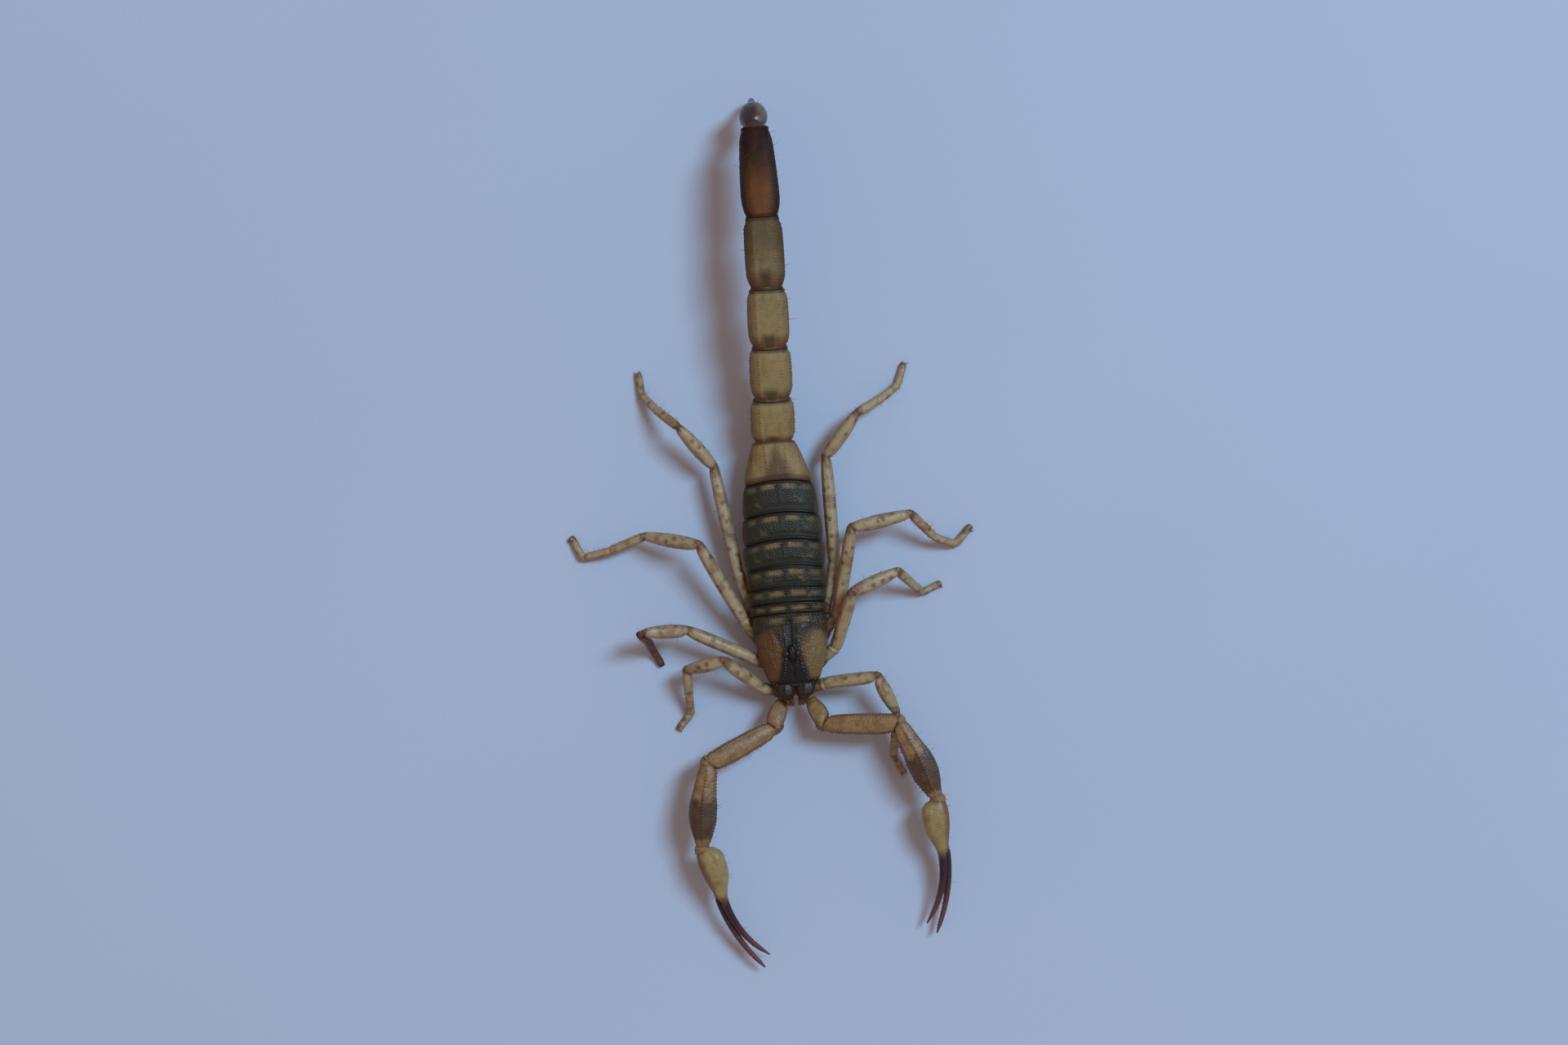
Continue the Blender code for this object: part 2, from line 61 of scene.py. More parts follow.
def box(node):
    """Lowest and highest corner of a solid, in millimetres."""
    low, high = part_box(node)
    return low / MM, high / MM


def middle(node):
    low, high = box(node)
    return (low + high) / 2


MIDLINE = middle("carapace").x


# Settings.


def length(name, description, default):
    """A length that a user may change, given in millimetres."""
    return bpy.props.FloatProperty(
        name=name, description=description, default=default * MM, min=0.0, precision=6,
        subtype="DISTANCE", unit="LENGTH",
    )


def colour(name, description, red, green, blue):
    """A colour that a user may change, given as it looks from 0 to 255."""
    linear = [((part / 255 + 0.055) / 1.055) ** 2.4 for part in (red, green, blue)]
    return bpy.props.FloatVectorProperty(
        name=name, description=description, default=linear, size=3, min=0.0, max=1.0, subtype="COLOR"
    )


class ScorpionShell(bpy.types.PropertyGroup):
    grain: length("Shell grain", "Width of the faces of the trunk, tail and arms", 0.065)
    fine_grain: length("Fine grain", "Width of the faces of jaws, fingers and legs", 0.05)
    keel: length("Keel height", "How far the keels of the tail and arms stand up", 0.16)
    granule: length("Granule height", "How far the grains on the shell stand up", 0.07)
    bristle: length("Bristle length", "Length of an ordinary bristle", 0.65)
    bristle_thickness: length("Bristle thickness", "Thickness of a bristle at its root", 0.03)


class ScorpionColours(bpy.types.PropertyGroup):
    leg: colour("Leg", "Pale shell of the legs", 182, 157, 117)
    leg_mark: colour("Leg marks", "Red-brown marks at the joints of the legs", 115, 62, 37)
    arm: colour("Arm", "Tan shell of the pincer arms", 158, 124, 78)
    arm_edge: colour("Arm keels", "Red-brown keels along the arms", 108, 61, 38)
    arm_dark: colour("Arm patch", "Dark patch on the far half of the patella", 80, 52, 38)
    hand: colour("Hand", "Mustard yellow of the hands", 165, 138, 86)
    finger: colour("Finger root", "Purplish black at the root of the fingers", 58, 29, 36)
    finger_tip: colour("Finger tip", "Red-brown of the finger tips", 120, 68, 60)
    back: colour("Back", "Dark olive grey of the back plates", 44, 42, 28)
    back_spot: colour("Back spots", "Yellow-orange dashes on the back plates", 152, 121, 70)
    flank: colour("Flank", "Red-brown skin and edges of the flanks", 102, 64, 39)
    head: colour("Head", "Brown-black of the head shield", 35, 29, 23)
    head_side: colour("Head lobes", "Orange-brown lobes beside the eyes", 124, 80, 36)
    tail: colour("Tail", "Tan of the tail's first rings", 158, 131, 84)
    tail_mark: colour("Tail marks", "Brown of the tail's joints and keels", 85, 48, 29)
    tail_end: colour("Tail end", "Orange-brown of the fifth ring's root", 128, 76, 34)
    sting: colour("Sting", "Brown-black of the bulb and the sting", 56, 45, 45)
    skin: colour("Skin", "Pale soft skin in the joints", 196, 164, 122)
    belly: colour("Belly", "Pale shell of the underside", 181, 150, 102)
    comb: colour("Combs", "Cream of the combs under the belly", 207, 177, 128)


class ScorpionStage(bpy.types.PropertyGroup):
    floor: colour("Floor", "Pale plain floor", 196, 203, 218)
    height: length("Camera height", "Height of the camera above the floor", 363.0)
    focal: bpy.props.FloatProperty(
        name="Lens", description="Focal length in millimetres", default=85.0, subtype="DISTANCE_CAMERA"
    )
    turn: bpy.props.FloatProperty(
        name="Turn", description="How far the camera is turned about the vertical",
        default=math.radians(-4.75), subtype="ANGLE", unit="ROTATION",
    )


# Shader graphs, written as expressions.


class Value:
    """An output of a shader node. Arithmetic on it adds Math nodes."""

    def __init__(self, finish, output):
        self.finish, self.output = finish, output

    def __add__(self, other):
        return self.finish.math("ADD", self, other)

    def __sub__(self, other):
        return self.finish.math("SUBTRACT", self, other)

    def __rsub__(self, other):
        return self.finish.math("SUBTRACT", other, self)

    def __mul__(self, other):
        return self.finish.math("MULTIPLY", self, other)

    def __truediv__(self, other):
        return self.finish.math("DIVIDE", self, other)

    def __pow__(self, other):
        return self.finish.math("POWER", self, other)

    def __abs__(self):
        return self.finish.math("ABSOLUTE", self)

    __radd__ = __add__
    __rmul__ = __mul__


class Finish:
    """A material in the making, with the places on the shell that its pattern follows."""

    def __init__(self, name):
        self.material = bpy.data.materials.new(name)
        self.material.use_nodes = True
        self.tree = self.material.node_tree
        self.shader = self.tree.nodes["Principled BSDF"]
        where = self.node("TexCoord", output="Object")
        self.where = self.node("VectorMath", {0: where, "Scale": 1 / MM}, operation="SCALE")
        place = self.node("Attribute", output="Vector", attribute_name="place")
        self.side, self.up, self.along = (self.node("SeparateXYZ", {0: place}, output=axis) for axis in "XYZ")
        self.ridge = self.node("Attribute", output="Fac", attribute_name="ridge")

    def node(self, kind, inputs=None, output=0, **settings):
        """Adds a node: its settings first, then the values or links of its sockets."""
        made = self.tree.nodes.new("ShaderNode" + kind)
        for name, setting in settings.items():
            setattr(made, name, setting)
        for socket, value in (inputs or {}).items():
            self.feed(made.inputs[socket], value)
        return Value(self, made.outputs[output])

    def feed(self, socket, value):
        if isinstance(value, Value):
            self.tree.links.new(value.output, socket)
        else:
            socket.default_value = value

    def math(self, operation, *values):
        return self.node("Math", dict(enumerate(values)), operation=operation)

    def step(self, value, start, end):
        """0 before start, 1 after end and smooth between them, in either order."""
        sockets = {"Value": value, "From Min": start, "From Max": end}
        return self.node("MapRange", sockets, interpolation_type="SMOOTHSTEP")

    def spot(self, value, centre, reach):
        """1 at the centre, falling smoothly to 0 at the reach."""
        return self.step(abs(value - centre), reach, reach * 0.35)

    def most(self, *values):
        found = values[0]
        for value in values[1:]:
            found = self.math("MAXIMUM", found, value)
        return found

    def blend(self, amount, under, over):
        """The over colour laid on the under colour."""
        sockets = {0: amount, 6: self.opaque(under), 7: self.opaque(over)}
        return self.node("Mix", sockets, output=2, data_type="RGBA")

    def opaque(self, tone):
        return tone if isinstance(tone, Value) else (*tone, 1.0)

    def clouds(self, scale, detail=3.0, stretch=None):
        """Soft noise from 0 to 1, with about this many blotches to a millimetre."""
        where = self.where
        if stretch:
            where = self.node("VectorMath", {0: where, 1: stretch}, operation="MULTIPLY")
        return self.node("TexNoise", {"Vector": where, "Scale": scale, "Detail": detail})

    def grains(self, scale):
        """Distance from the nearest of scattered grains."""
        return self.node("TexVoronoi", {"Vector": self.where, "Scale": scale})

    def made(self, tone, roughness, relief, depth, coat=0.0, shine=0.5):
        """Links colour, roughness and a bump of some depth in millimetres, and returns the material."""
        self.feed(self.shader.inputs["Base Color"], tone)
        self.feed(self.shader.inputs["Roughness"], roughness)
        bump = self.node("Bump", {"Strength": 0.6, "Distance": depth * MM, "Height": relief}, output="Normal")
        self.feed(self.shader.inputs["Normal"], bump)
        self.shader.inputs["Coat Weight"].default_value = coat
        self.shader.inputs["Coat Roughness"].default_value = 0.25
        self.shader.inputs["Specular IOR Level"].default_value = shine
        return self.material


def shade(tone, factor):
    """A colour made lighter or darker."""
    return tuple(min(1.0, part * factor) for part in tone)


def cuticle(finish, tone, roughness=0.42, coat=0.12, shine=0.34):
    """The common skin of all shell: fine uneven tone, worn bright ridges and pitted gloss."""
    cloud = finish.clouds(1.6)
    fine = finish.clouds(9.0, 2.0)
    worn = 1 - finish.step(cloud, 0.35, 0.75) * 0.14 + finish.step(fine, 0.5, 0.8) * 0.12
    tone = finish.node("VectorMath", {0: tone, "Scale": worn}, operation="SCALE")
    pits = finish.grains(11.0)
    relief = fine * 0.5 + pits
    gloss = roughness + (fine - 0.5) * 0.22 + finish.ridge * -0.06
    return finish.made(tone, gloss, relief, 0.02, coat, shine)


def leg_finish(name, colours, base, mark):
    """Pale shell with brown mottling, and red-brown marks near each joint."""
    finish = Finish(name)
    along, up = finish.along, finish.up
    blotch = finish.step(finish.clouds(0.9, 4.0), 0.47, 0.66)
    ends = finish.most(finish.step(along, 0.09, 0.0), finish.step(along, 0.9, 1.0))
    dots = finish.step(finish.grains(1.05), 0.38, 0.16) * finish.step(up, -0.2, 0.5)
    marks = finish.most(ends * finish.step(finish.clouds(2.2), 0.32, 0.5), dots * 0.75)
    tone = finish.blend(blotch * 0.5, base, mark)
    tone = finish.blend(finish.step(abs(finish.side), 0.5, 1.0) * 0.35, tone, mark)
    tone = finish.blend(marks * 0.85, tone, shade(mark, 0.75))
    tone = finish.blend(finish.step(finish.ridge, 0.5, 1.2) * 0.3, tone, mark)
    return cuticle(finish, tone, 0.46, 0.1)


def arm_finish(name, colours, patch=False):
    """Tan shell with red-brown keels, and a dark far half on the patella."""
    finish = Finish(name)
    along, side = finish.along, finish.side
    mottled = finish.clouds(1.1, 4.0)
    tone = finish.blend(finish.step(mottled, 0.42, 0.68) * 0.5, colours.arm, colours.arm_edge)
    tone = finish.blend(finish.step(finish.clouds(3.5), 0.52, 0.68) * 0.35, tone, colours.arm_edge)
    edges = finish.most(finish.step(side, -0.5, -0.95) * 0.9, finish.step(side, 0.65, 1.0) * 0.65)
    keels = finish.most(finish.step(finish.ridge, 0.2, 0.9), edges)
    tone = finish.blend(keels * 0.75, tone, colours.arm_edge)
    ends = finish.most(finish.step(along, 0.08, 0.0), finish.step(along, 0.93, 1.0))
    tone = finish.blend(ends * 0.6, tone, colours.arm_edge)
    if patch:
        ragged = along + (mottled - 0.5) * 0.22
        dark = finish.step(ragged, 0.36, 0.5) * finish.step(ragged, 0.93, 0.86)
        tone = finish.blend(dark * (0.74 + mottled * 0.36), tone, colours.arm_dark)
    return cuticle(finish, tone, 0.46, 0.1)


def hand_finish(name, colours, root, tip):
    """Mustard hand that darkens into purplish fingers with red-brown tips. A piece that is
    only a finger has its root at 0."""
    finish = Finish(name)
    along, side = finish.along, finish.side
    mottled = finish.clouds(1.0, 4.0)
    tone = finish.blend(finish.step(mottled, 0.45, 0.75) * 0.4, colours.hand, colours.arm_edge)
    edge = finish.step(side, -0.4, -0.95) * 0.8
    tone = finish.blend(finish.most(edge, finish.step(along, 0.05, 0.0)), tone, colours.arm_edge)
    dark = finish.step(along + (mottled - 0.5) * 0.05, root - 0.07, root + 0.03)
    tone = finish.blend(dark, tone, colours.finger)
    tone = finish.blend(finish.step(along, root + 0.12, tip) * 0.9, tone, colours.finger_tip)
    return cuticle(finish, tone, 0.42, 0.15)


def tail_finish(name, root, far, colours, dark_sides):
    """A tail ring: root and far tone, brown keels, a dark spot over its root joint."""
    finish = Finish(name)
    along, side, up = finish.along, finish.side, finish.up
    mottled = finish.clouds(0.9, 4.0)
    streaks = finish.clouds(1.5, 3.0, (1.0, 0.22, 1.0))
    tone = finish.blend(finish.step(along + (mottled - 0.5) * 0.3, 0.1, 0.8), root, far)
    tone = finish.blend(finish.step(streaks, 0.5, 0.75) * 0.3, tone, colours.tail_mark)
    top = finish.step(up, 0.0, 0.5)
    ragged = along + (mottled - 0.5) * 0.15
    warm = finish.step(abs(side), 0.25, 0.5) * finish.step(ragged, 0.32, 0.06)
    tone = finish.blend(warm * 0.8, tone, colours.arm_edge)
    spot = finish.spot(side, 0.0, 0.6) * finish.step(ragged, 0.34, 0.17) * top
    corners = finish.step(abs(side), 0.55, 0.8) * finish.step(along, 0.93, 1.0)
    joint = finish.most(spot * (0.95 if dark_sides < 0.9 else 0.15), corners, finish.step(along, 0.05, 0.0), finish.step(along, 0.95, 1.0) * 0.7)
    tone = finish.blend(joint * 0.85, tone, shade(colours.tail_mark, 0.5))
    sides = finish.step(abs(side) + (mottled - 0.5) * 0.15, 0.62 - 0.25 * dark_sides, 0.98) * dark_sides
    tone = finish.blend(sides, tone, shade(colours.tail_mark, 1.1 - dark_sides))
    tone = finish.blend(finish.step(finish.ridge, 0.3, 0.9) * 0.5, tone, shade(colours.tail_mark, 0.8))
    return cuticle(finish, tone, 0.52, 0.0, 0.34 - 0.2 * dark_sides)


def back_finish(name, colours):
    """Olive-grey back plate: a row of yellow dashes before a dark rear edge, red-brown flanks.
    Its points note their distance from the rear edge, in millimetres, instead of their height."""
    finish = Finish(name)
    along, side = finish.along, finish.side
    mottled = finish.clouds(1.4, 4.0)
    wobble = (mottled - 0.5) * 0.25
    tone = finish.blend(finish.step(mottled, 0.45, 0.75) * 0.5, colours.back, shade(colours.back, 1.9))
    across = abs(side) + wobble * 0.4
    rear = finish.up + wobble * 0.7
    row = finish.step(rear, 0.1, 0.28) * finish.step(rear, 0.78, 0.42)
    inner = finish.step(across, 0.03, 0.16) * finish.step(across, 0.54, 0.34)
    outer = finish.step(across, 0.54, 0.68) * finish.step(across, 0.9, 0.74)
    dashes = row * finish.most(inner, outer * 0.5) * (0.36 + mottled * 0.66)
    faint = finish.spot(across, 0.5, 0.3) * finish.spot(along, 0.35, 0.3) * finish.step(mottled, 0.5, 0.7)
    tone = finish.blend(finish.most(dashes, faint * 0.3), tone, colours.back_spot)
    edge = finish.most(finish.step(finish.up, 0.15, 0.04), finish.step(along, 0.1, 0.02))
    tone = finish.blend(edge * 0.85, tone, shade(colours.back, 0.3))
    flanks = finish.step(across, 0.86, 0.98)
    tone = finish.blend(flanks * 0.75, tone, colours.flank)
    return cuticle(finish, tone, 0.5, 0.08)


def seventh_finish(name, colours):
    """Tan seventh ring with a dark wedge that points to the tail and a red-brown front edge."""
    finish = Finish(name)
    along, side, up = finish.along, finish.side, finish.up
    mottled = finish.clouds(0.9, 4.0)
    tone = finish.blend(finish.step(mottled, 0.4, 0.75) * 0.4, colours.tail, shade(colours.tail_mark, 1.8))
    tone = finish.blend(finish.step(abs(side), 0.6, 1.0) * 0.55, tone, colours.flank)
    reach = 0.52 - along * 0.5
    wedge = finish.step(abs(side) + (mottled - 0.5) * 0.25, reach + 0.15, reach - 0.2) * finish.step(up, 0.0, 0.3)
    tone = finish.blend(wedge * 0.65, tone, shade(colours.tail_mark, 0.7))
    edge = finish.most(finish.step(along, 0.16, 0.02) * 0.8, finish.step(along, 0.94, 1.0) * 0.7)
    tone = finish.blend(edge, tone, shade(colours.flank, 0.4))
    tone = finish.blend(finish.step(finish.ridge, 0.3, 1.0) * 0.4, tone, colours.tail_mark)
    return cuticle(finish, tone, 0.52, 0.04, 0.25)


def head_finish(name, colours):
    """Brown-black shield: a black triangle from the front corners to the eyes, paler lobes beside it."""
    finish = Finish(name)
    along, side = finish.along, finish.side
    mottled = finish.clouds(1.0, 4.0)
    wobble = (mottled - 0.5) * 0.3
    across = abs(side) + wobble * 0.4
    tone = finish.blend(finish.step(mottled, 0.35, 0.7) * 0.7, shade(colours.back, 0.8), shade(colours.head_side, 0.5))
    lobes = (abs(across - 0.66) / 0.46) ** 2 + (abs(along + wobble * 0.5 - 0.4) / 0.36) ** 2
    lobes = finish.step(lobes + wobble, 1.5, 0.35)
    tone = finish.blend(lobes * 0.9, tone, colours.head_side)
    # Painted highlight: the lobe on the animal's left, which faces the lamp, is laid paler and yellower.
    tone = finish.blend(lobes * finish.step(side, 0.1, 0.6) * 0.55, tone, shade(colours.hand, 0.6))
    # Painted shade: the lobe on the animal's right, away from the lamp, is laid redder and darker.
    tone = finish.blend(lobes * finish.step(side, -0.1, -0.5) * 0.65, tone, shade(colours.flank, 0.85))
    reach = 0.44 - along * 0.4
    wedge = finish.step(across, reach + 0.1, reach - 0.07) * finish.step(along, 0.75, 0.6)
    stripe = finish.step(across, 0.2, 0.06)
    black = finish.most(wedge, stripe * 0.6, finish.step(along + wobble * 0.1, 0.15, 0.08))
    tone = finish.blend(black * 0.96, tone, shade(colours.head, 0.35))
    dashes = finish.spot(across, 0.32, 0.28) * finish.spot(along, 0.93, 0.06)
    tone = finish.blend(dashes * (mottled * 1.1), tone, shade(colours.back_spot, 0.8))
    tone = finish.blend(finish.step(along, 0.975, 0.995) * 0.8, tone, shade(colours.head, 0.5))
    return cuticle(finish, tone, 0.46, 0.1)


def jaw_finish(name, colours):
    """Dark mottled jaws with yellow-brown finger tips."""
    finish = Finish(name)
    net = finish.step(finish.grains(2.6), 0.2, 0.42)
    tone = finish.blend(net * 0.5, shade(colours.head, 0.7), shade(colours.head_side, 0.35))
    tone = finish.blend(finish.step(finish.along, 0.62, 0.95) * 0.85, tone, shade(colours.leg_mark, 0.9))
    return cuticle(finish, tone, 0.48, 0.05, 0.28)


def sting_finish(name, colours, tip, worn=0.0):
    """Glossy brown-black, with the sting's tip almost black and a painted pale highlight on the upper part of the
    bulb's left half, the side that faces the lamp. The worn argument sets the strength of this painted highlight.
    """
    finish = Finish(name)
    warm = finish.step(finish.clouds(0.8, 3.0), 0.45, 0.7)
    tone = finish.blend(warm * 0.5, colours.sting, shade(colours.tail_mark, 0.8))
    # Painted highlight: a pale patch on the upper left side of the bulb, where it faces the lamp.
    patch = finish.step(finish.side, 0.15, 0.6) * finish.step(finish.up, -0.1, 0.5) * finish.clouds(1.3)
    tone = finish.blend(patch * worn, tone, shade(colours.skin, 0.4))
    tone = finish.blend(finish.step(finish.along, 0.1, 0.9) * tip, tone, shade(colours.sting, 0.25))
    return cuticle(finish, tone, 0.24, 0.6)


def plain_finish(name, base, mark, roughness=0.45):
    """Evenly toned shell with soft blotches and darker edges at its joints."""
    finish = Finish(name)
    along = finish.along
    blotch = finish.step(finish.clouds(0.9, 4.0), 0.45, 0.75)
    tone = finish.blend(blotch * 0.3, base, mark)
    ends = finish.most(finish.step(along, 0.06, 0.0), finish.step(along, 0.92, 1.0))
    tone = finish.blend(ends * 0.5, tone, mark)
    tone = finish.blend(finish.step(finish.ridge, -0.2, -0.8) * 0.8, tone, mark)
    return cuticle(finish, tone, roughness, 0.15)


def skin_finish(name, base, mark):
    """Soft, matt skin with fine folds across the joint."""
    finish = Finish(name)
    folds = finish.clouds(5.0, 3.0)
    tone = finish.blend(finish.step(folds, 0.45, 0.75) * 0.45, base, mark)
    return finish.made(tone, 0.6 + (folds - 0.5) * 0.2, folds + finish.grains(7.0), 0.03)


def eye_finish(name):
    """Black lens with a wet gloss and a faint amber depth."""
    finish = Finish(name)
    depth = finish.step(finish.clouds(2.0, 2.0), 0.3, 0.8)
    tone = finish.blend(depth, (0.004, 0.004, 0.005), (0.02, 0.012, 0.008))
    return finish.made(tone, 0.06 + depth * 0.05, depth, 0.004, 0.6, 0.5)


def bristle_finish(name, colours):
    """Red-brown bristles, paler in places."""
    finish = Finish(name)
    uneven = finish.clouds(3.0, 2.0)
    tone = finish.blend(uneven, colours.leg_mark, shade(colours.arm, 0.9))
    return finish.made(tone, 0.45 + uneven * 0.1, uneven, 0.004)


def floor_finish(name, tone):
    """Matt pale sheet with a barely uneven surface."""
    finish = Finish(name)
    broad = finish.clouds(0.02, 2.0)
    fibres = finish.clouds(2.0, 3.0)
    tone = finish.blend(finish.step(broad, 0.3, 0.7) * 0.25, tone, shade(tone, 0.93))
    return finish.made(tone, 0.75 + (fibres - 0.5) * 0.1, fibres, 0.02, 0.0, 0.2)


# Modelling.


def lone(piece):
    """Makes a piece the only one selected, and the active one."""
    bpy.ops.object.select_all(action="DESELECT")
    piece.select_set(True)
    bpy.context.view_layer.objects.active = piece
    return piece


def use(piece, kind, **settings):
    """Gives a piece a modifier and applies it."""
    lone(piece)
    modifier = piece.modifiers.new(kind, kind)
    for name, setting in settings.items():
        setattr(modifier, name, setting)
    bpy.ops.object.modifier_apply(modifier=modifier.name)


def copy_of(node, name=None, rim=0.12):
    """A copy of a solid with its loose triangles merged and paired, and its flat ends inset by a rim."""
    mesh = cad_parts[node].data.copy()
    mesh.transform(Matrix.Scale(1 / MM, 4))
    mesh.materials.clear()
    piece = bpy.data.objects.new(name or f"{node}_shell", mesh)
    bpy.context.collection.objects.link(piece)
    lone(piece)
    bpy.ops.mesh.customdata_custom_splitnormals_clear()
    bpy.ops.object.mode_set(mode="EDIT")
    bpy.ops.mesh.select_all(action="SELECT")
    bpy.ops.mesh.remove_doubles(threshold=0.002)
    bpy.ops.mesh.dissolve_limited(angle_limit=math.radians(0.6))
    bpy.ops.mesh.select_all(action="SELECT")
    bpy.ops.mesh.tris_convert_to_quads(face_threshold=math.radians(50), shape_threshold=math.radians(80))
    if rim:
        bpy.ops.mesh.select_all(action="DESELECT")
        bpy.ops.mesh.select_face_by_sides(number=6, type="GREATER")
        bpy.ops.mesh.inset(thickness=rim)
    bpy.ops.object.mode_set(mode="OBJECT")
    return piece


def refined(piece, grain, levels=2, softening=5, swell=0.0):
    """Rounds off the facets, then gives the skin small even faces."""
    if levels:
        use(piece, "SUBSURF", levels=levels, render_levels=levels)
    if swell:
        raised(piece, np.full(len(piece.data.vertices), swell))
    use(piece, "REMESH", mode="VOXEL", voxel_size=grain / MM)
    use(piece, "SMOOTH", factor=0.5, iterations=softening)
    return piece


def spread(piece, name):
    """Every point's coordinates, or its normal, as rows."""
    found = np.empty(len(piece.data.vertices) * 3, np.float32)
    if name == "co":
        piece.data.vertices.foreach_get("co", found)
    else:
        piece.data.vertex_normals.foreach_get("vector", found)
    return found.reshape(-1, 3).astype(float)


def moved(piece, points):
    """Puts a piece's points at new places."""
    piece.data.vertices.foreach_set("co", np.asarray(points, np.float32).ravel())
    piece.data.update()


def raised(piece, heights, limit=0.1):
    """Moves each point along its normal, and notes how far as the ridge attribute."""
    moved(piece, spread(piece, "co") + spread(piece, "normal") * heights[:, None])
    ridge = piece.data.attributes.get("ridge") or piece.data.attributes.new("ridge", "FLOAT", "POINT")
    ridge.data.foreach_set("value", np.clip(heights / limit, -1, 1).astype(np.float32))
    return piece


def placed(piece, side, up, along):
    """Notes where each point lies on its piece, for the finish to follow."""
    place = piece.data.attributes.new("place", "FLOAT_VECTOR", "POINT")
    rows = np.stack([side, up, along], axis=1).astype(np.float32)
    place.data.foreach_set("vector", rows.ravel())
    return piece


def finished(piece, finish, slot, *replaced, smooth=True):
    """Gives a piece its finish, brings it back to metres and fixes it to the body. Nothing
    reaches below the floor."""
    points = spread(piece, "co")
    points[:, 2] = np.maximum(points[:, 2], 0)
    moved(piece, points * MM)
    piece.data.materials.clear()
    piece.data.materials.append(finish)
    lone(piece)
    if smooth:
        bpy.ops.object.shade_smooth()
    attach(piece, "root")
    if replaced:
        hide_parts(*replaced)
    return piece


def ease(value, start, end):
    """0 before start, 1 after end and smooth between them, in either order."""
    t = np.clip((value - start) / (end - start), 0, 1)
    return t * t * (3 - 2 * t)


def hill(value, centre, width):
    return np.exp(-(((value - centre) / width) ** 2))


def granules(points, seeds, radius, height):
    """Low round grains on a skin, about the given points."""
    rise = np.zeros(len(points))
    for seed in seeds:
        near = ((points - seed) ** 2).sum(1)
        np.maximum(rise, height * np.exp(-near / radius**2), out=rise)
    return rise


def scattered(points, spacing, seed, most=600):
    """Points of a skin taken at random, none nearer to another than the spacing."""
    order = np.random.default_rng(seed).permutation(len(points))
    chosen = np.empty((0, 3))
    for candidate in points[order[: most * 6]]:
        if len(chosen) >= most:
            break
        if not len(chosen) or ((chosen - candidate) ** 2).sum(1).min() > spacing**2:
            chosen = np.vstack([chosen, candidate])
    return chosen


class Course:
    """The centre line of a piece from its root to its tip, and where points lie about it."""

    def __init__(self, piece, root, mirror=1, stations=12, axis=None):
        points = spread(piece, "co")
        centre = points.mean(0)
        if axis is None:
            axis = np.linalg.svd(points - centre, full_matrices=False)[2][0]
        axis = np.array(axis) / np.linalg.norm(axis)
        if (np.array(root) - centre) @ axis > 0:
            axis = -axis
        reach = (points - centre) @ axis
        cuts = np.linspace(reach.min(), reach.max(), stations + 1)
        if stations == 1:
            self.line = centre + np.outer(cuts, axis)
        else:
            middles = [
                points[(reach >= low) & (reach <= high)].mean(0) for low, high in zip(cuts, cuts[1:])
            ]
            first = middles[0] - (middles[1] - middles[0]) * 0.5
            last = middles[-1] + (middles[-1] - middles[-2]) * 0.5
            self.line = np.array([first, *middles[1:-1], last])
        runs = np.diff(self.line, axis=0)
        self.lengths = np.linalg.norm(runs, axis=1)
        self.length = self.lengths.sum()
        tangents = np.vstack([runs[0], runs[:-1] + runs[1:], runs[-1]])
        self.tangents = tangents / np.linalg.norm(tangents, axis=1)[:, None]
        self.mirror = mirror
        self.measure(points)
        self.lid = abs((spread(piece, "normal") * self.heading).sum(1))

    def measure(self, points):
        """Side and up in millimetres, and the fraction along, of each point."""
        count = len(points)
        best = np.full(count, np.inf)
        self.along, self.side, self.up = (np.zeros(count) for _ in range(3))
        self.heading = np.zeros((count, 3))
        passed = 0.0
        for start, run, length_, before, after in zip(
            self.line, np.diff(self.line, axis=0), self.lengths, self.tangents, self.tangents[1:]
        ):
            t = np.clip((points - start) @ run / length_**2, 0, 1)
            offset = points - start - t[:, None] * run
            gap = np.linalg.norm(offset, axis=1)
            tangent = before * (1 - t)[:, None] + after * t[:, None]
            across = np.cross(tangent, np.array(UP))
            across /= np.linalg.norm(across, axis=1)[:, None]
            over = np.cross(across, tangent)
            nearer = gap < best
            best = np.where(nearer, gap, best)
            self.along = np.where(nearer, (passed + t * length_) / self.length, self.along)
            self.side = np.where(nearer, (offset * across).sum(1) * self.mirror, self.side)
            self.up = np.where(nearer, (offset * over).sum(1), self.up)
            self.heading = np.where(nearer[:, None], tangent, self.heading)
            passed += length_
        self.radius = np.hypot(self.side, self.up)
        self.angle = np.degrees(np.arctan2(self.up, self.side))

    def keel(self, angle, height, width=0.1, bead=0.0, start=0.06, end=0.94):
        """A ridge along the piece at some angle, in beads of some length."""
        apart = np.radians((self.angle - angle + 180) % 360 - 180) * self.radius
        ridge = height * np.exp(-((apart / width) ** 2))
        ridge *= ease(self.along, start - 0.03, start + 0.03) * ease(self.along, end + 0.03, end - 0.03)
        if bead:
            ridge *= 0.74 + 0.26 * np.cos(math.tau * self.along * round(self.length / bead))
            ridge *= 0.85 + 0.15 * np.sin(self.along * 31 + angle)
        return ridge

    def closed(self, reach):
        """How far the flat ends move out, to meet the next piece."""
        ends = ease(self.lid, 0.5, 0.9) * np.maximum(ease(self.along, 0.12, 0.04), ease(self.along, 0.88, 0.96))
        return reach * ends

    def ends(self):
        """Root and tip as (point, direction, radius)."""
        found = []
        for point, tangent, near in (
            (self.line[0], self.tangents[0], self.along < 0.12),
            (self.line[-1], self.tangents[-1], self.along > 0.88),
        ):
            found.append((Vector(point), Vector(tangent), float(self.radius[near].mean())))
        return found

    def note(self, piece):
        reach = np.maximum(self.radius, 1e-6)
        return placed(piece, self.side / reach, self.up / reach, self.along)


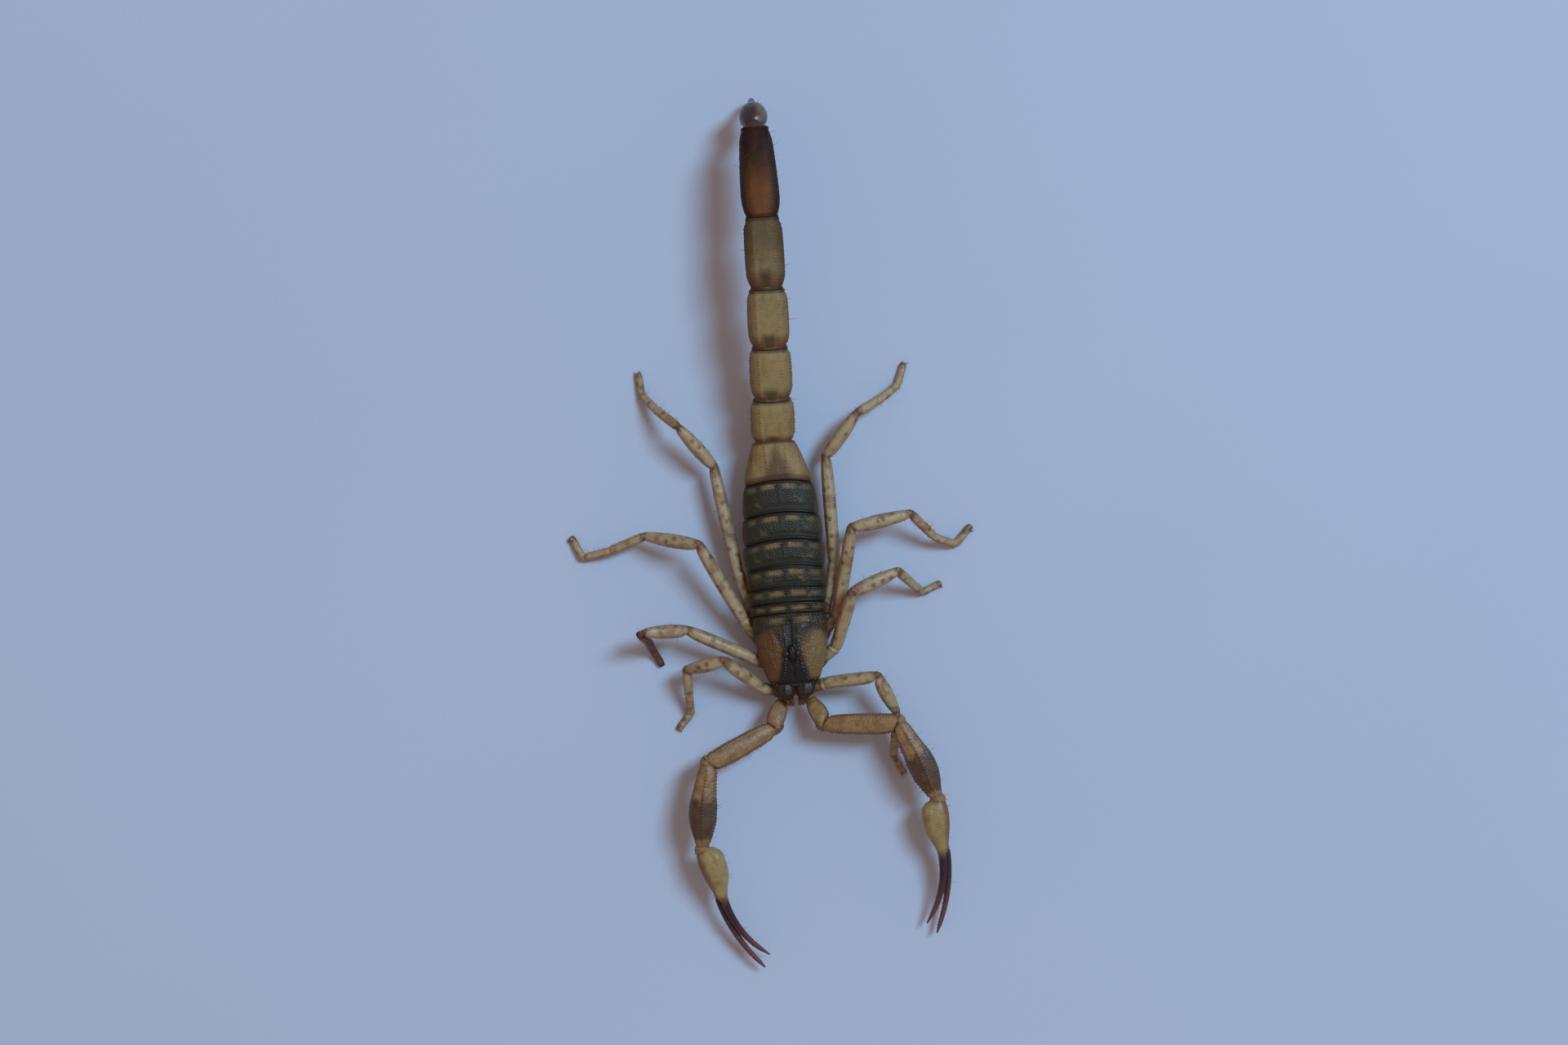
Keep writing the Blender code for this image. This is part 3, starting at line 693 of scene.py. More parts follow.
def ring_pattern():
    """A short ribbed sleeve of one unit, drawn by extruding a disc and swelling every other ring."""
    bpy.ops.object.select_all(action="DESELECT")
    bpy.ops.mesh.primitive_circle_add(vertices=20, radius=0.7, fill_type="NGON")
    sleeve = bpy.context.object
    bpy.ops.object.mode_set(mode="EDIT")
    bpy.ops.mesh.select_all(action="SELECT")
    swells = (1.25, 1.14, 0.92, 1.08, 0.93, 1.08, 0.9, 0.8)
    for swell in swells:
        bpy.ops.mesh.extrude_region_move(TRANSFORM_OT_translate={"value": (0, 0, 1 / len(swells))})
        bpy.ops.transform.resize(value=(swell, swell, 1))
    bpy.ops.mesh.select_all(action="SELECT")
    bpy.ops.mesh.normals_make_consistent(inside=False)
    bpy.ops.object.mode_set(mode="OBJECT")
    use(sleeve, "SUBSURF", levels=1, render_levels=1)
    return sleeve


def rod(name, line, widths):
    """A round rod along a line, drawn by extruding a disc, with its half width at each point."""
    line = np.array(line)
    tangents = np.gradient(line, axis=0)
    bpy.ops.object.select_all(action="DESELECT")
    bpy.ops.mesh.primitive_circle_add(vertices=14, radius=1.0, fill_type="NGON")
    piece = bpy.context.object
    piece.name = name
    bpy.ops.object.mode_set(mode="EDIT")
    bpy.ops.mesh.select_all(action="SELECT")
    for _ in line[1:]:
        bpy.ops.mesh.extrude_region_move(TRANSFORM_OT_translate={"value": (0, 0, 1)})
    bpy.ops.object.mode_set(mode="OBJECT")
    for vert in piece.data.vertices:
        ring = round(vert.co.z)
        along = Vector(tangents[ring]).normalized()
        across = along.cross(Vector((1.0, 0.0, 0.0))).normalized()
        over = across.cross(along)
        vert.co = Vector(line[ring]) - (across * vert.co.x + over * vert.co.y) * widths[ring]
    bpy.ops.object.mode_set(mode="EDIT")
    bpy.ops.mesh.select_all(action="SELECT")
    bpy.ops.mesh.normals_make_consistent(inside=False)
    bpy.ops.object.mode_set(mode="OBJECT")
    use(piece, "SUBSURF", levels=2, render_levels=2)
    return piece


def joined(name, pieces):
    """Several pieces as one, under a name."""
    lone(pieces[0])
    for piece in pieces:
        piece.select_set(True)
    if len(pieces) > 1:
        bpy.ops.object.join()
    pieces[0].name = name
    return pieces[0]


def sleeve_between(pattern, start, end, overlap=0.3, fill=0.86):
    """A copy of the ribbed sleeve bent from one end piece to the next."""
    (before, leaving, wide), (after, arriving, narrow) = start, end
    here, there = before - leaving * overlap, after + arriving * overlap
    span = (there - here).length
    sleeve = pattern.copy()
    sleeve.data = pattern.data.copy()
    bpy.context.collection.objects.link(sleeve)
    for vert in sleeve.data.vertices:
        t = vert.co.z
        centre = here * (2 * t**3 - 3 * t**2 + 1) + there * (3 * t**2 - 2 * t**3)
        centre += leaving * span * (t**3 - 2 * t**2 + t) + arriving * span * (t**3 - t**2)
        along = leaving.lerp(arriving, t).normalized()
        across = along.cross(UP).normalized()
        over = across.cross(along)
        size = (wide + (narrow - wide) * t) * fill
        vert.co = centre + (across * vert.co.x + over * vert.co.y) * size
    return sleeve


def nearest(points, x, y):
    """The highest point of a skin over a place."""
    near = np.hypot(points[:, 0] - x, points[:, 1] - y)
    close = points[near < near.min() + 0.08]
    return Vector(close[close[:, 2].argmax()])


def beads(points, path, spacing):
    """Points of a skin along a line over it, given as (x, y) corners."""
    found = []
    for start, end in zip(path, path[1:]):
        run = math.dist(start, end)
        for step in range(max(1, round(run / spacing))):
            t = step * spacing / run
            found.append(nearest(points, start[0] + (end[0] - start[0]) * t, start[1] + (end[1] - start[1]) * t))
    return [np.array(point) for point in found]


def over_trunk(piece, node):
    """Side and along of each point of a plate, from its solid's box, and the plain coordinates."""
    low, high = box(node)
    points = spread(piece, "co")
    x, y = points[:, 0] - MIDLINE, points[:, 1]
    half = (high.x - low.x) / 2
    along = (y - low.y) / (high.y - low.y)
    up = (points[:, 2] - low.z) / (high.z - low.z)
    return points, x, along, x / half, up


def bowed(piece, low=-1.0):
    """Bows the plates' edges towards the tail along the middle of the back, above some height."""
    points = spread(piece, "co")
    shield, fourth, seventh = box("carapace"), middle("tergite_4"), box("mesosoma_7")
    places = (shield[0].y, shield[1].y, fourth.y, seventh[0].y, seventh[1].y)
    bow = np.interp(points[:, 1], places, (0.0, 0.15, 0.55, 0.55, 0.0))
    wide = 1 - ((points[:, 0] - MIDLINE) / 3.8) ** 2
    points[:, 1] += bow * np.maximum(wide, 0) * ease(points[:, 2], low, low + 0.8)
    moved(piece, points)


# The operators. Each makes one group of pieces and gives them their names.


class SCORPION_OT_head_shield(bpy.types.Operator):
    """Head shield with its furrows, granules and the hump between the middle eyes"""

    bl_idname = "scorpion.head_shield"
    bl_label = "Head shield"

    def execute(self, context):
        shell, colours = context.scene.scorpion_shell, context.scene.scorpion_colours
        piece = refined(copy_of("carapace", rim=0), shell.fine_grain, 0, 14)
        points, x, along, side, up = over_trunk(piece, "carapace")
        low, high = box("carapace")
        run = high.y - low.y
        top = ease(spread(piece, "normal")[:, 2], 0.1, 0.5)
        wide = abs(x)
        eyes = [middle("eye_left"), middle("eye_right")]
        hump = ease(np.hypot(x, (points[:, 1] - eyes[0].y) * 0.6), 0.7, 0.45)
        furrow = -0.13 * hill(x, 0, 0.15) * ease(along, 0.55, 0.62) * ease(along, 0.96, 0.9)
        furrow -= 0.1 * hill(x, 0, 0.14) * ease(along, 0.06, 0.14) * ease(along, 0.36, 0.3)
        furrow -= 0.09 * hill(along + 0.012 * wide**2, 0.9, 0.022)
        furrow -= 0.05 * hill(wide - 0.95 - (along - 0.5) * 2.2, 0, 0.16) * ease(along, 0.5, 0.56) * ease(along, 0.84, 0.78)
        furrow -= 0.06 * hill(along, 0.42 + 0.05 * wide, 0.03) * ease(wide, 0.8, 1.1)
        rim = 0.06 * ease(along, 0.045, 0.015) + 0.05 * ease(along, 0.965, 0.99)
        brow = sum(
            0.1 * hill(np.linalg.norm(points - np.array(eye), axis=1), 0.36, 0.09) for eye in eyes
        )
        lines = []
        for sign in (1, -1):
            for corners in (
                ((0.62, 0.58), (0.72, 0.88)),
                ((1.75, 0.62), (2.15, 0.86)),
                ((0.75, 0.38), (0.95, 0.2), (1.5, 0.04)),
                ((1.9, 0.3), (2.5, 0.55)),
            ):
                path = [(MIDLINE + sign * across, low.y + run * place) for across, place in corners]
                lines += beads(points, path, 0.24)
        for step in range(-8, 9):
            lines.append(np.array(nearest(points, MIDLINE + step * 0.24, low.y + 0.12)))
        seeds = scattered(points[(top > 0.6) & (along > 0.03) & (hump < 0.2)], 0.2, 3, 900)
        heights = furrow + rim + brow * (1 - 0.4 * hump) + granules(points, lines, 0.1, 0.085)
        heights += granules(points, seeds, 0.07, shell.granule / MM) * (0.5 + 0.5 * ease(wide, 0.3, 1.2))
        lids = abs(spread(piece, "normal")[:, 1]) * (along > 0.5)
        raised(piece, heights * top + 0.1 * ease(lids, 0.6, 0.9))
        placed(piece, side, up, along)
        bowed(piece, high.z - 1.6)
        finished(piece, head_finish("head_shell_finish", colours), "head_shell", "carapace")
        return {"FINISHED"}


class SCORPION_OT_eyes(bpy.types.Operator):
    """Two middle eyes on the hump and three small eyes at each front corner"""

    bl_idname = "scorpion.eyes"
    bl_label = "Eyes"

    def execute(self, context):
        lens = eye_finish("eye_lens_finish")
        shield = bpy.data.objects["carapace_shell"]
        skin = spread(shield, "co") / MM
        low, high = box("carapace")
        for side, sign in SIDES.items():
            eye = copy_of(f"eye_{side}", rim=0)
            use(eye, "SUBSURF", levels=2, render_levels=2)
            points = spread(eye, "co")
            centre = np.array(middle(f"eye_{side}"))
            away = points - centre
            reach = np.linalg.norm(away, axis=1)[:, None]
            bulge = 0.27 + 0.03 * ease(away[:, :1] * sign / reach, 0.4, 1.0)
            moved(eye, centre + away / reach * bulge)
            finished(eye, lens, "eye_lens", f"eye_{side}")
            small = []
            for across, back, size in ((1.62, 0.14, 0.11), (1.84, 0.3, 0.12), (2.02, 0.52, 0.1)):
                at = nearest(skin, MIDLINE + sign * across, low.y + back)
                bpy.ops.object.select_all(action="DESELECT")
                bpy.ops.mesh.primitive_uv_sphere_add(segments=20, ring_count=12, radius=size, location=at)
                bead = bpy.context.object
                bpy.ops.object.mode_set(mode="EDIT")
                bpy.ops.mesh.select_all(action="SELECT")
                bpy.ops.transform.resize(value=(1.0, 1.15, 0.85), center_override=at)
                bpy.ops.object.mode_set(mode="OBJECT")
                bpy.ops.object.transform_apply(location=True, rotation=True, scale=True)
                small.append(bead)
            finished(joined(f"side_eyes_{side}", small), lens, "eye_lens")
        return {"FINISHED"}


class SCORPION_OT_jaws(bpy.types.Operator):
    """The two jaws with their fingers and teeth"""

    bl_idname = "scorpion.jaws"
    bl_label = "Jaws"

    def execute(self, context):
        shell, colours = context.scene.scorpion_shell, context.scene.scorpion_colours
        finish = jaw_finish("jaw_shell_finish", colours)
        for side, sign in SIDES.items():
            node = f"chelicera_{side}"
            piece = refined(copy_of(node, rim=0), shell.fine_grain * 0.8, 0, 4)
            course = Course(piece, middle("carapace"), sign, axis=(0, 1, 0))
            points = spread(piece, "co")
            points[:, 1] += 0.35 * ease(course.along, 0.85, 0.5) + 0.25 * ease(course.along, 0.35, 0.0)
            points[:, 0] += sign * 0.3 * ease(course.along, 0.75, 0.2) * ease(course.side, 0.3, -0.5)
            points[:, 0] -= sign * 0.28 * ease(course.along, 0.5, 0.95)
            moved(piece, points)
            heights = 0.13 * ease(course.along, 0.64, 0.46) + course.keel(90, 0.03, 0.12, 0.0, 0.1, 0.6)
            rear = points[course.along < 0.55]
            heights += granules(points, scattered(rear, 0.2, 5, 60), 0.06, 0.02)
            gap = (course.along > 0.62) & (course.along < 0.92) & (abs(course.side) < 0.14)
            heights += granules(points, scattered(points[gap], 0.13, 9, 10), 0.05, 0.07)
            raised(piece, heights)
            course.note(piece)
            finished(piece, finish, "jaw_shell", node)
        return {"FINISHED"}


class SCORPION_OT_back(bpy.types.Operator):
    """Six back plates and the seventh ring, with keels and granules"""

    bl_idname = "scorpion.back"
    bl_label = "Back plates"

    def execute(self, context):
        shell, colours = context.scene.scorpion_shell, context.scene.scorpion_colours
        finish = back_finish("back_shell_finish", colours)
        for number in range(1, 7):
            node = f"tergite_{number}"
            piece = refined(copy_of(node), shell.fine_grain, 2, 6, 0.04)
            points, x, along, side, up = over_trunk(piece, node)
            low, high = box(node)
            run = high.y - low.y
            top = ease(spread(piece, "normal")[:, 2], 0.15, 0.5)
            window = ease(along, 0.25, 0.4) * ease(along, 0.95, 0.85)
            heights = -0.06 * ease(along, 0.3, 0.16) + 0.05 * hill(along * run, run - 0.14, 0.1)
            heights += 0.045 * hill(x, 0, 0.1) * window
            rear = [(low.x + 0.5, high.y - 0.2), (high.x - 0.5, high.y - 0.2)]
            heights += granules(points, beads(points, rear, 0.22), 0.08, 0.06)
            seeds = scattered(points[(top > 0.5) & (along > 0.3) & (along < 0.93)], 0.19, number, 600)
            heights += granules(points, seeds, 0.065, shell.granule / MM)
            lids = abs(spread(piece, "normal")[:, 1])
            raised(piece, heights * top + 0.1 * ease(lids, 0.6, 0.9))
            placed(piece, side, (1 - along) * run, along)
            bowed(piece)
            finished(piece, finish, "back_shell", node)
        piece = refined(copy_of("mesosoma_7"), shell.grain, 2, 4, 0.04)
        course = Course(piece, middle("carapace"), stations=1, axis=(0, 1, 0))
        points, x, along, side, up = over_trunk(piece, "mesosoma_7")
        low, high = box("mesosoma_7")
        heights = 0.05 * hill(along, 0.02, 0.02) - 0.07 * hill(along, 0.08, 0.03)
        for angle, height, start, end in (
            (90, 0.07, 0.2, 0.75), (62, 0.1, 0.3, 0.92), (118, 0.1, 0.3, 0.92), (30, 0.1, 0.35, 0.94),
            (150, 0.1, 0.35, 0.94), (-50, 0.06, 0.4, 0.9), (-130, 0.06, 0.4, 0.9),
        ):
            heights += course.keel(angle, height, 0.13, 0.34, start, end)
        heights += course.closed(0.09)
        seeds = scattered(points[(course.up > -0.2) & (along > 0.15)], 0.22, 17, 500)
        heights += granules(points, seeds, 0.07, shell.granule / MM * 0.7)
        raised(piece, heights)
        half = np.interp(along, (0, 0.5, 1), (1.0, 0.9, 0.62)) * (high.x - low.x) / 2
        placed(piece, x / half, course.up / np.maximum(course.radius, 1e-6), along)
        bowed(piece, high.z - 2.2)
        finished(piece, seventh_finish("ring_shell_finish", colours), "ring_shell", "mesosoma_7")
        return {"FINISHED"}


class SCORPION_OT_flanks(bpy.types.Operator):
    """Soft pleated skin between the back plates and the belly plates"""

    bl_idname = "scorpion.flanks"
    bl_label = "Flank skin"

    def execute(self, context):
        colours = context.scene.scorpion_colours
        plates = [f"tergite_{number}" for number in range(1, 7)]
        floor = box("sternite_4")[0].z + 0.35
        stations = []
        front = box("carapace")[1].y - 1.2
        for node in plates:
            low, high = box(node)
            half, top = (high.x - low.x) / 2, high.z
            stations.append((low.y - 0.15, half - 0.2, top - 0.16))
            stations.append(((low.y + high.y) / 2, half - 0.42, top - 0.5))
        low, high = box("mesosoma_7")
        stations = [(front, 3.1, stations[0][2] - 0.3), *stations, (low.y - 0.15, high.x - MIDLINE - 0.25, high.z - 0.3),
                    (low.y + 1.2, 3.0, high.z - 0.6)]
        bpy.ops.object.select_all(action="DESELECT")
        bpy.ops.mesh.primitive_circle_add(
            vertices=40, radius=1, fill_type="NGON", rotation=(math.radians(90), 0, 0),
            location=(MIDLINE, stations[0][0], (stations[0][2] + floor) / 2),
        )
        skin = bpy.context.object
        skin.name = "flank_skin"
        bpy.ops.object.transform_apply(location=True, rotation=True, scale=True)
        bpy.ops.object.mode_set(mode="EDIT")
        bpy.ops.mesh.select_all(action="SELECT")
        place, tall, wide = stations[0][0], 1.0, 1.0
        for index, (y, half, top) in enumerate(stations):
            height = (top - floor) / 2
            if index:
                bpy.ops.mesh.extrude_region_move(TRANSFORM_OT_translate={"value": (0, y - place, 0)})
            centre = (MIDLINE, y, (top + floor) / 2)
            bpy.ops.transform.translate(value=(0, 0, centre[2] - middle_z) if index else (0, 0, 0))
            bpy.ops.transform.resize(value=(half / wide, 1, height / tall), center_override=centre)
            place, tall, wide, middle_z = y, height, half, centre[2]
        bpy.ops.mesh.select_all(action="SELECT")
        bpy.ops.mesh.normals_make_consistent(inside=False)
        bpy.ops.object.mode_set(mode="OBJECT")
        refined(skin, 0.14 * MM, 2, 3)
        points = spread(skin, "co")
        pleats = 0.04 * np.sin(points[:, 1] * 9.0 + np.sin(points[:, 2] * 4) * 0.6)
        raised(skin, pleats * ease(abs(points[:, 0] - MIDLINE), 2.4, 3.2))
        placed(skin, points[:, 0] * 0, points[:, 2] * 0, points[:, 1] * 0 + 0.5)
        finished(skin, skin_finish("flank_skin_finish", shade(colours.flank, 0.8), shade(colours.flank, 0.4)), "belly_shell")
        return {"FINISHED"}


class SCORPION_OT_belly(bpy.types.Operator):
    """Hip plates, breastbone, belly plates with their breathing slits, and the combs"""

    bl_idname = "scorpion.belly"
    bl_label = "Belly"

    def execute(self, context):
        shell, colours = context.scene.scorpion_shell, context.scene.scorpion_colours
        finish = plain_finish("belly_shell_finish", colours.belly, shade(colours.flank, 0.7))
        piece = refined(copy_of("coxosternum"), shell.grain * 1.2, 2, 3)
        points, x, along, side, up = over_trunk(piece, "coxosternum")
        below = ease(spread(piece, "normal")[:, 2], 0.2, -0.3)
        wide = abs(x)
        heights = np.zeros(len(points))
        for number in LEGS[1:]:
            root = box(f"leg_{number}_left_femur")[0].y
            heights -= 0.14 * hill(points[:, 1] - root + 0.75 - wide * 0.55, 0, 0.1) * ease(wide, 0.35, 0.6)
        heights -= 0.14 * hill(x, 0, 0.08) * ease(along, 0.8, 0.72)
        heights -= 0.1 * hill(wide - 0.75 * ease(along, 0.72, 0.97), 0, 0.08) * ease(along, 0.7, 0.76)
        heights += granules(points, scattered(points[below > 0.5], 0.3, 21, 260), 0.08, 0.03)
        raised(piece, heights * below)
        placed(piece, side, up, np.clip(along, 0.1, 0.9))
        finished(piece, finish, "belly_shell", "coxosternum")
        for number in range(3, 7):
            node = f"sternite_{number}"
            piece = refined(copy_of(node), shell.grain * 1.2, 2, 3, 0.03)
            points, x, along, side, up = over_trunk(piece, node)
            below = ease(spread(piece, "normal")[:, 2], 0.1, -0.4)
            slit = ((abs(x) - 1.75) / 0.36) ** 2 + ((along - 0.55 - 0.12 * (abs(x) - 1.75)) / 0.05) ** 2
            heights = -0.22 * np.exp(-slit) + 0.06 * np.exp(-((slit - 3.5) ** 2) / 2)
            heights += 0.05 * hill(along, 0.97, 0.03) - 0.05 * hill(abs(x), 0.7, 0.12) * ease(along, 0.2, 0.5)
            raised(piece, heights * below)
            placed(piece, side, up, along)
            finished(piece, finish, "belly_shell", node)
        comb = plain_finish("comb_finish", colours.comb, shade(colours.belly, 0.6))
        for side, sign in SIDES.items():
            node = f"pectine_{side}"
            piece = refined(copy_of(node, rim=0), shell.fine_grain, 0, 4)
            course = Course(piece, (MIDLINE, middle(node).y, middle(node).z), sign)
            points = spread(piece, "co")
            heights = granules(points, scattered(points[course.along < 0.95], 0.25, 31, 120), 0.09, 0.035)
            raised(piece, heights)
            course.note(piece)
            finished(piece, comb, "comb_shell", node)
        return {"FINISHED"}


class SCORPION_OT_tail(bpy.types.Operator):
    """Five keeled tail rings, the bulb, the sting and the skin between them"""

    bl_idname = "scorpion.tail"
    bl_label = "Tail"

    def execute(self, context):
        shell, colours = context.scene.scorpion_shell, context.scene.scorpion_colours
        keel = shell.keel / MM
        tones = (
            (colours.tail, colours.tail, 0.3), (colours.tail, colours.tail, 0.35),
            (colours.tail, shade(colours.tail, 0.9), 0.4),
            (shade(colours.tail, 0.8), shade(colours.tail, 0.42), 0.6),
            (colours.tail_end, shade(colours.tail_mark, 0.36), 0.95),
        )
        before = middle("mesosoma_7")
        ends = []
        for number, (root, far, sides) in enumerate(tones, start=1):
            node = f"metasoma_{number}"
            last = number == 5
            piece = refined(copy_of(node), shell.grain, 2, 4, 0.08)
            heading = None if last else middle(f"metasoma_{number + 1}") - before
            course = Course(piece, before, stations=1, axis=heading)
            points = spread(piece, "co")
            waist = 0.17 * ease(course.along, 0.24, 0.0) + 0.1 * ease(course.along, 0.84, 1.0)
            heights = -0.07 * hill((course.angle - 90) / 90, 0, 0.36) * ease(course.along, 0.02, 0.2)
            sets = ((38, 142), (-38, 218)) if last else ((52, 128), (22, 158), (-38, 218), (-68, 248))
            for pair in sets:
                for angle in pair:
                    heights += course.keel(angle, keel * (0.6 if 45 < angle < 135 else 0.9), 0.16, 0.32)
            if number < 3:
                heights += course.keel(-6, keel * 0.7, 0.12, 0.32) + course.keel(186, keel * 0.7, 0.12, 0.32)
            if last:
                heights += course.keel(-90, keel, 0.14, 0.32)
            heights += course.closed(0.1) - waist * ease(course.lid, 0.9, 0.5)
            seeds = scattered(points[(course.along > 0.08) & (course.along < 0.92)], 0.24, 40 + number, 420)
            heights += granules(points, seeds, 0.06, shell.granule / MM * 0.5)
            raised(piece, heights)
            course.note(piece)
            finish = tail_finish(f"tail_shell_{number}_finish", root, far, colours, sides)
            finished(piece, finish, "tail_end_shell" if last else "tail_shell", node)
            ends.append(course.ends())
            before = middle(node)
        bulb = refined(copy_of("telson_bulb"), shell.grain, 2, 4, 0.05)
        course = Course(bulb, before)
        points = spread(bulb, "co")
        heights = sum(course.keel(angle, 0.04, 0.12, 0.3, 0.15, 0.8) for angle in (-90, -50, -130))
        seeds = scattered(points[(course.along > 0.1) & (course.along < 0.9)], 0.36, 51, 160)
        heights += granules(points, seeds, 0.08, 0.025)
        raised(bulb, heights)
        course.note(bulb)
        # The last argument, 1.3, is the strength of the painted highlight on the bulb.
        finished(bulb, sting_finish("bulb_finish", colours, 0.3, 1.3), "sting_shell", "telson_bulb")
        ends.append(course.ends())
        solid = copy_of("telson_sting", rim=0)
        course = Course(solid, middle("telson_bulb"), stations=8)
        bpy.data.objects.remove(solid)
        (root, leaving, wide), _ = course.ends()
        line = [root - leaving * 0.7, *course.line]
        sting = rod("telson_sting_shell", line, (0.75, 0.5, 0.4, 0.36, 0.32, 0.28, 0.23, 0.17, 0.07))
        course = Course(sting, middle("telson_bulb"))
        course.note(sting)
        finished(sting, sting_finish("sting_finish", colours, 0.95), "sting_shell", "telson_sting")
        pattern = ring_pattern()
        seventh = Course(bpy.data.objects["mesosoma_7_shell"], middle("carapace") * MM, stations=1, axis=(0, 1, 0))
        point, leaving, wide = seventh.ends()[1]
        ends.insert(0, (None, (point / MM, leaving, wide / MM)))
        sleeves = [
            sleeve_between(pattern, tip, root, 0.35, 0.84)
            for (_, tip), (root, _) in zip(ends, ends[1:])
        ]
        folds = skin_finish("joint_skin_finish", shade(colours.tail, 0.8), shade(colours.tail_mark, 0.8))
        finished(joined("tail_joint_skin", sleeves[:-1]), folds, "tail_shell")
        dark = skin_finish("bulb_skin_finish", shade(colours.tail_mark, 0.9), shade(colours.sting, 0.7))
        finished(joined("bulb_joint_skin", sleeves[-1:]), dark, "sting_shell")
        bpy.data.objects.remove(pattern)
        return {"FINISHED"}


class SCORPION_OT_arms(bpy.types.Operator):
    """Pincer arms: keeled segments, round hands, toothed fingers and the skin in their joints"""

    bl_idname = "scorpion.arms"
    bl_label = "Pincer arms"

    def execute(self, context):
        shell, colours = context.scene.scorpion_shell, context.scene.scorpion_colours
        keel = shell.keel / MM
        arm = arm_finish("arm_shell_finish", colours)
        patch = arm_finish("arm_patch_finish", colours, patch=True)
        hand = hand_finish("hand_shell_finish", colours, 0.45, 0.95)
        finger = hand_finish("finger_shell_finish", colours, 0.0, 0.85)
        cream = skin_finish("arm_skin_finish", shade(colours.arm, 0.8), colours.arm_edge)
        pattern = ring_pattern()
        plans = {
            "trochanter": (arm, "arm_shell", (40, 140, -40, 220), 0.5),
            "femur": (arm, "arm_shell", (38, 142, -38, 218, 0), 1.0),
            "patella": (patch, "arm_shell", (90, 38, 142, -38, 218, 5), 0.9),
            "hand": (hand, "hand_shell", (60, 120, 0), 0.3),
            "moving_finger": (finger, "finger_shell", (), 0.0),
        }
        for side, sign in SIDES.items():
            before = Vector((MIDLINE, box("coxosternum")[0].y + 1.0, 2.5))
            ends = []
            for part, (finish, slot, keels, strength) in plans.items():
                node = f"claw_{side}_{part}"
                fine = part in ("hand", "moving_finger")
                swell = 0.03 if fine else 0.06
                piece = refined(copy_of(node), shell.fine_grain if fine else shell.grain, 2, 4, swell)
                course = Course(piece, before, sign, 20 if fine else 12)
                points = spread(piece, "co")
                heights = np.zeros(len(points))
                last = 0.4 if part == "hand" else 0.94
                for angle in keels:
                    heights += course.keel(angle, keel * strength, 0.12, 0.32, 0.06, last)
                if part != "moving_finger":
                    heights += course.closed(0.17) * (course.along < (0.5 if part == "hand" else 2.0))
                if part == "hand":
                    inner = ease(course.side / np.maximum(course.radius, 1e-6), 0.2, 0.9)
                    heights += 0.3 * hill(course.along, 0.1, 0.055) * inner
                if strength:
                    body = points[(course.along > 0.06) & (course.along < last)]
                    heights += granules(points, scattered(body, 0.26, 60, 300), 0.06, shell.granule / MM * 0.4)
                if fine:
                    start, facing = (0.47, 180) if part == "hand" else (0.12, 0)
                    count = 26
                    for step in range(count):
                        place = start + (0.97 - start) * step / count
                        row = course.keel(facing, 1, 0.09) * hill(course.along, place, 0.006)
                        heights += row * (0.06 if step % 4 else 0.1)
                    heights -= np.minimum(0.12, course.radius * 0.4) * ease(course.along, 0.88, 1.0)
                raised(piece, heights)
                course.note(piece)
                finished(piece, finish, slot, node)
                ends.append(course.ends())
                before = middle(node)
            roots = [ends[0][0]]
            hip = roots[0][0] - roots[0][1] * 0.55
            sleeves = [sleeve_between(pattern, (hip, roots[0][1], roots[0][2]), roots[0], 0.3, 0.9)]
            sleeves += [
                sleeve_between(pattern, first[1], second[0], 0.25, 1.03)
                for first, second in zip(ends[:3], ends[1:4])
            ]
            root, leaving, wide = ends[4][0]
            sleeves.append(sleeve_between(pattern, (root - leaving * 0.3, leaving, wide), ends[4][0], 0.1, 0.78))
            finished(joined(f"arm_{side}_joint_skin", sleeves), cream, "arm_shell")
        bpy.data.objects.remove(pattern)
        return {"FINISHED"}


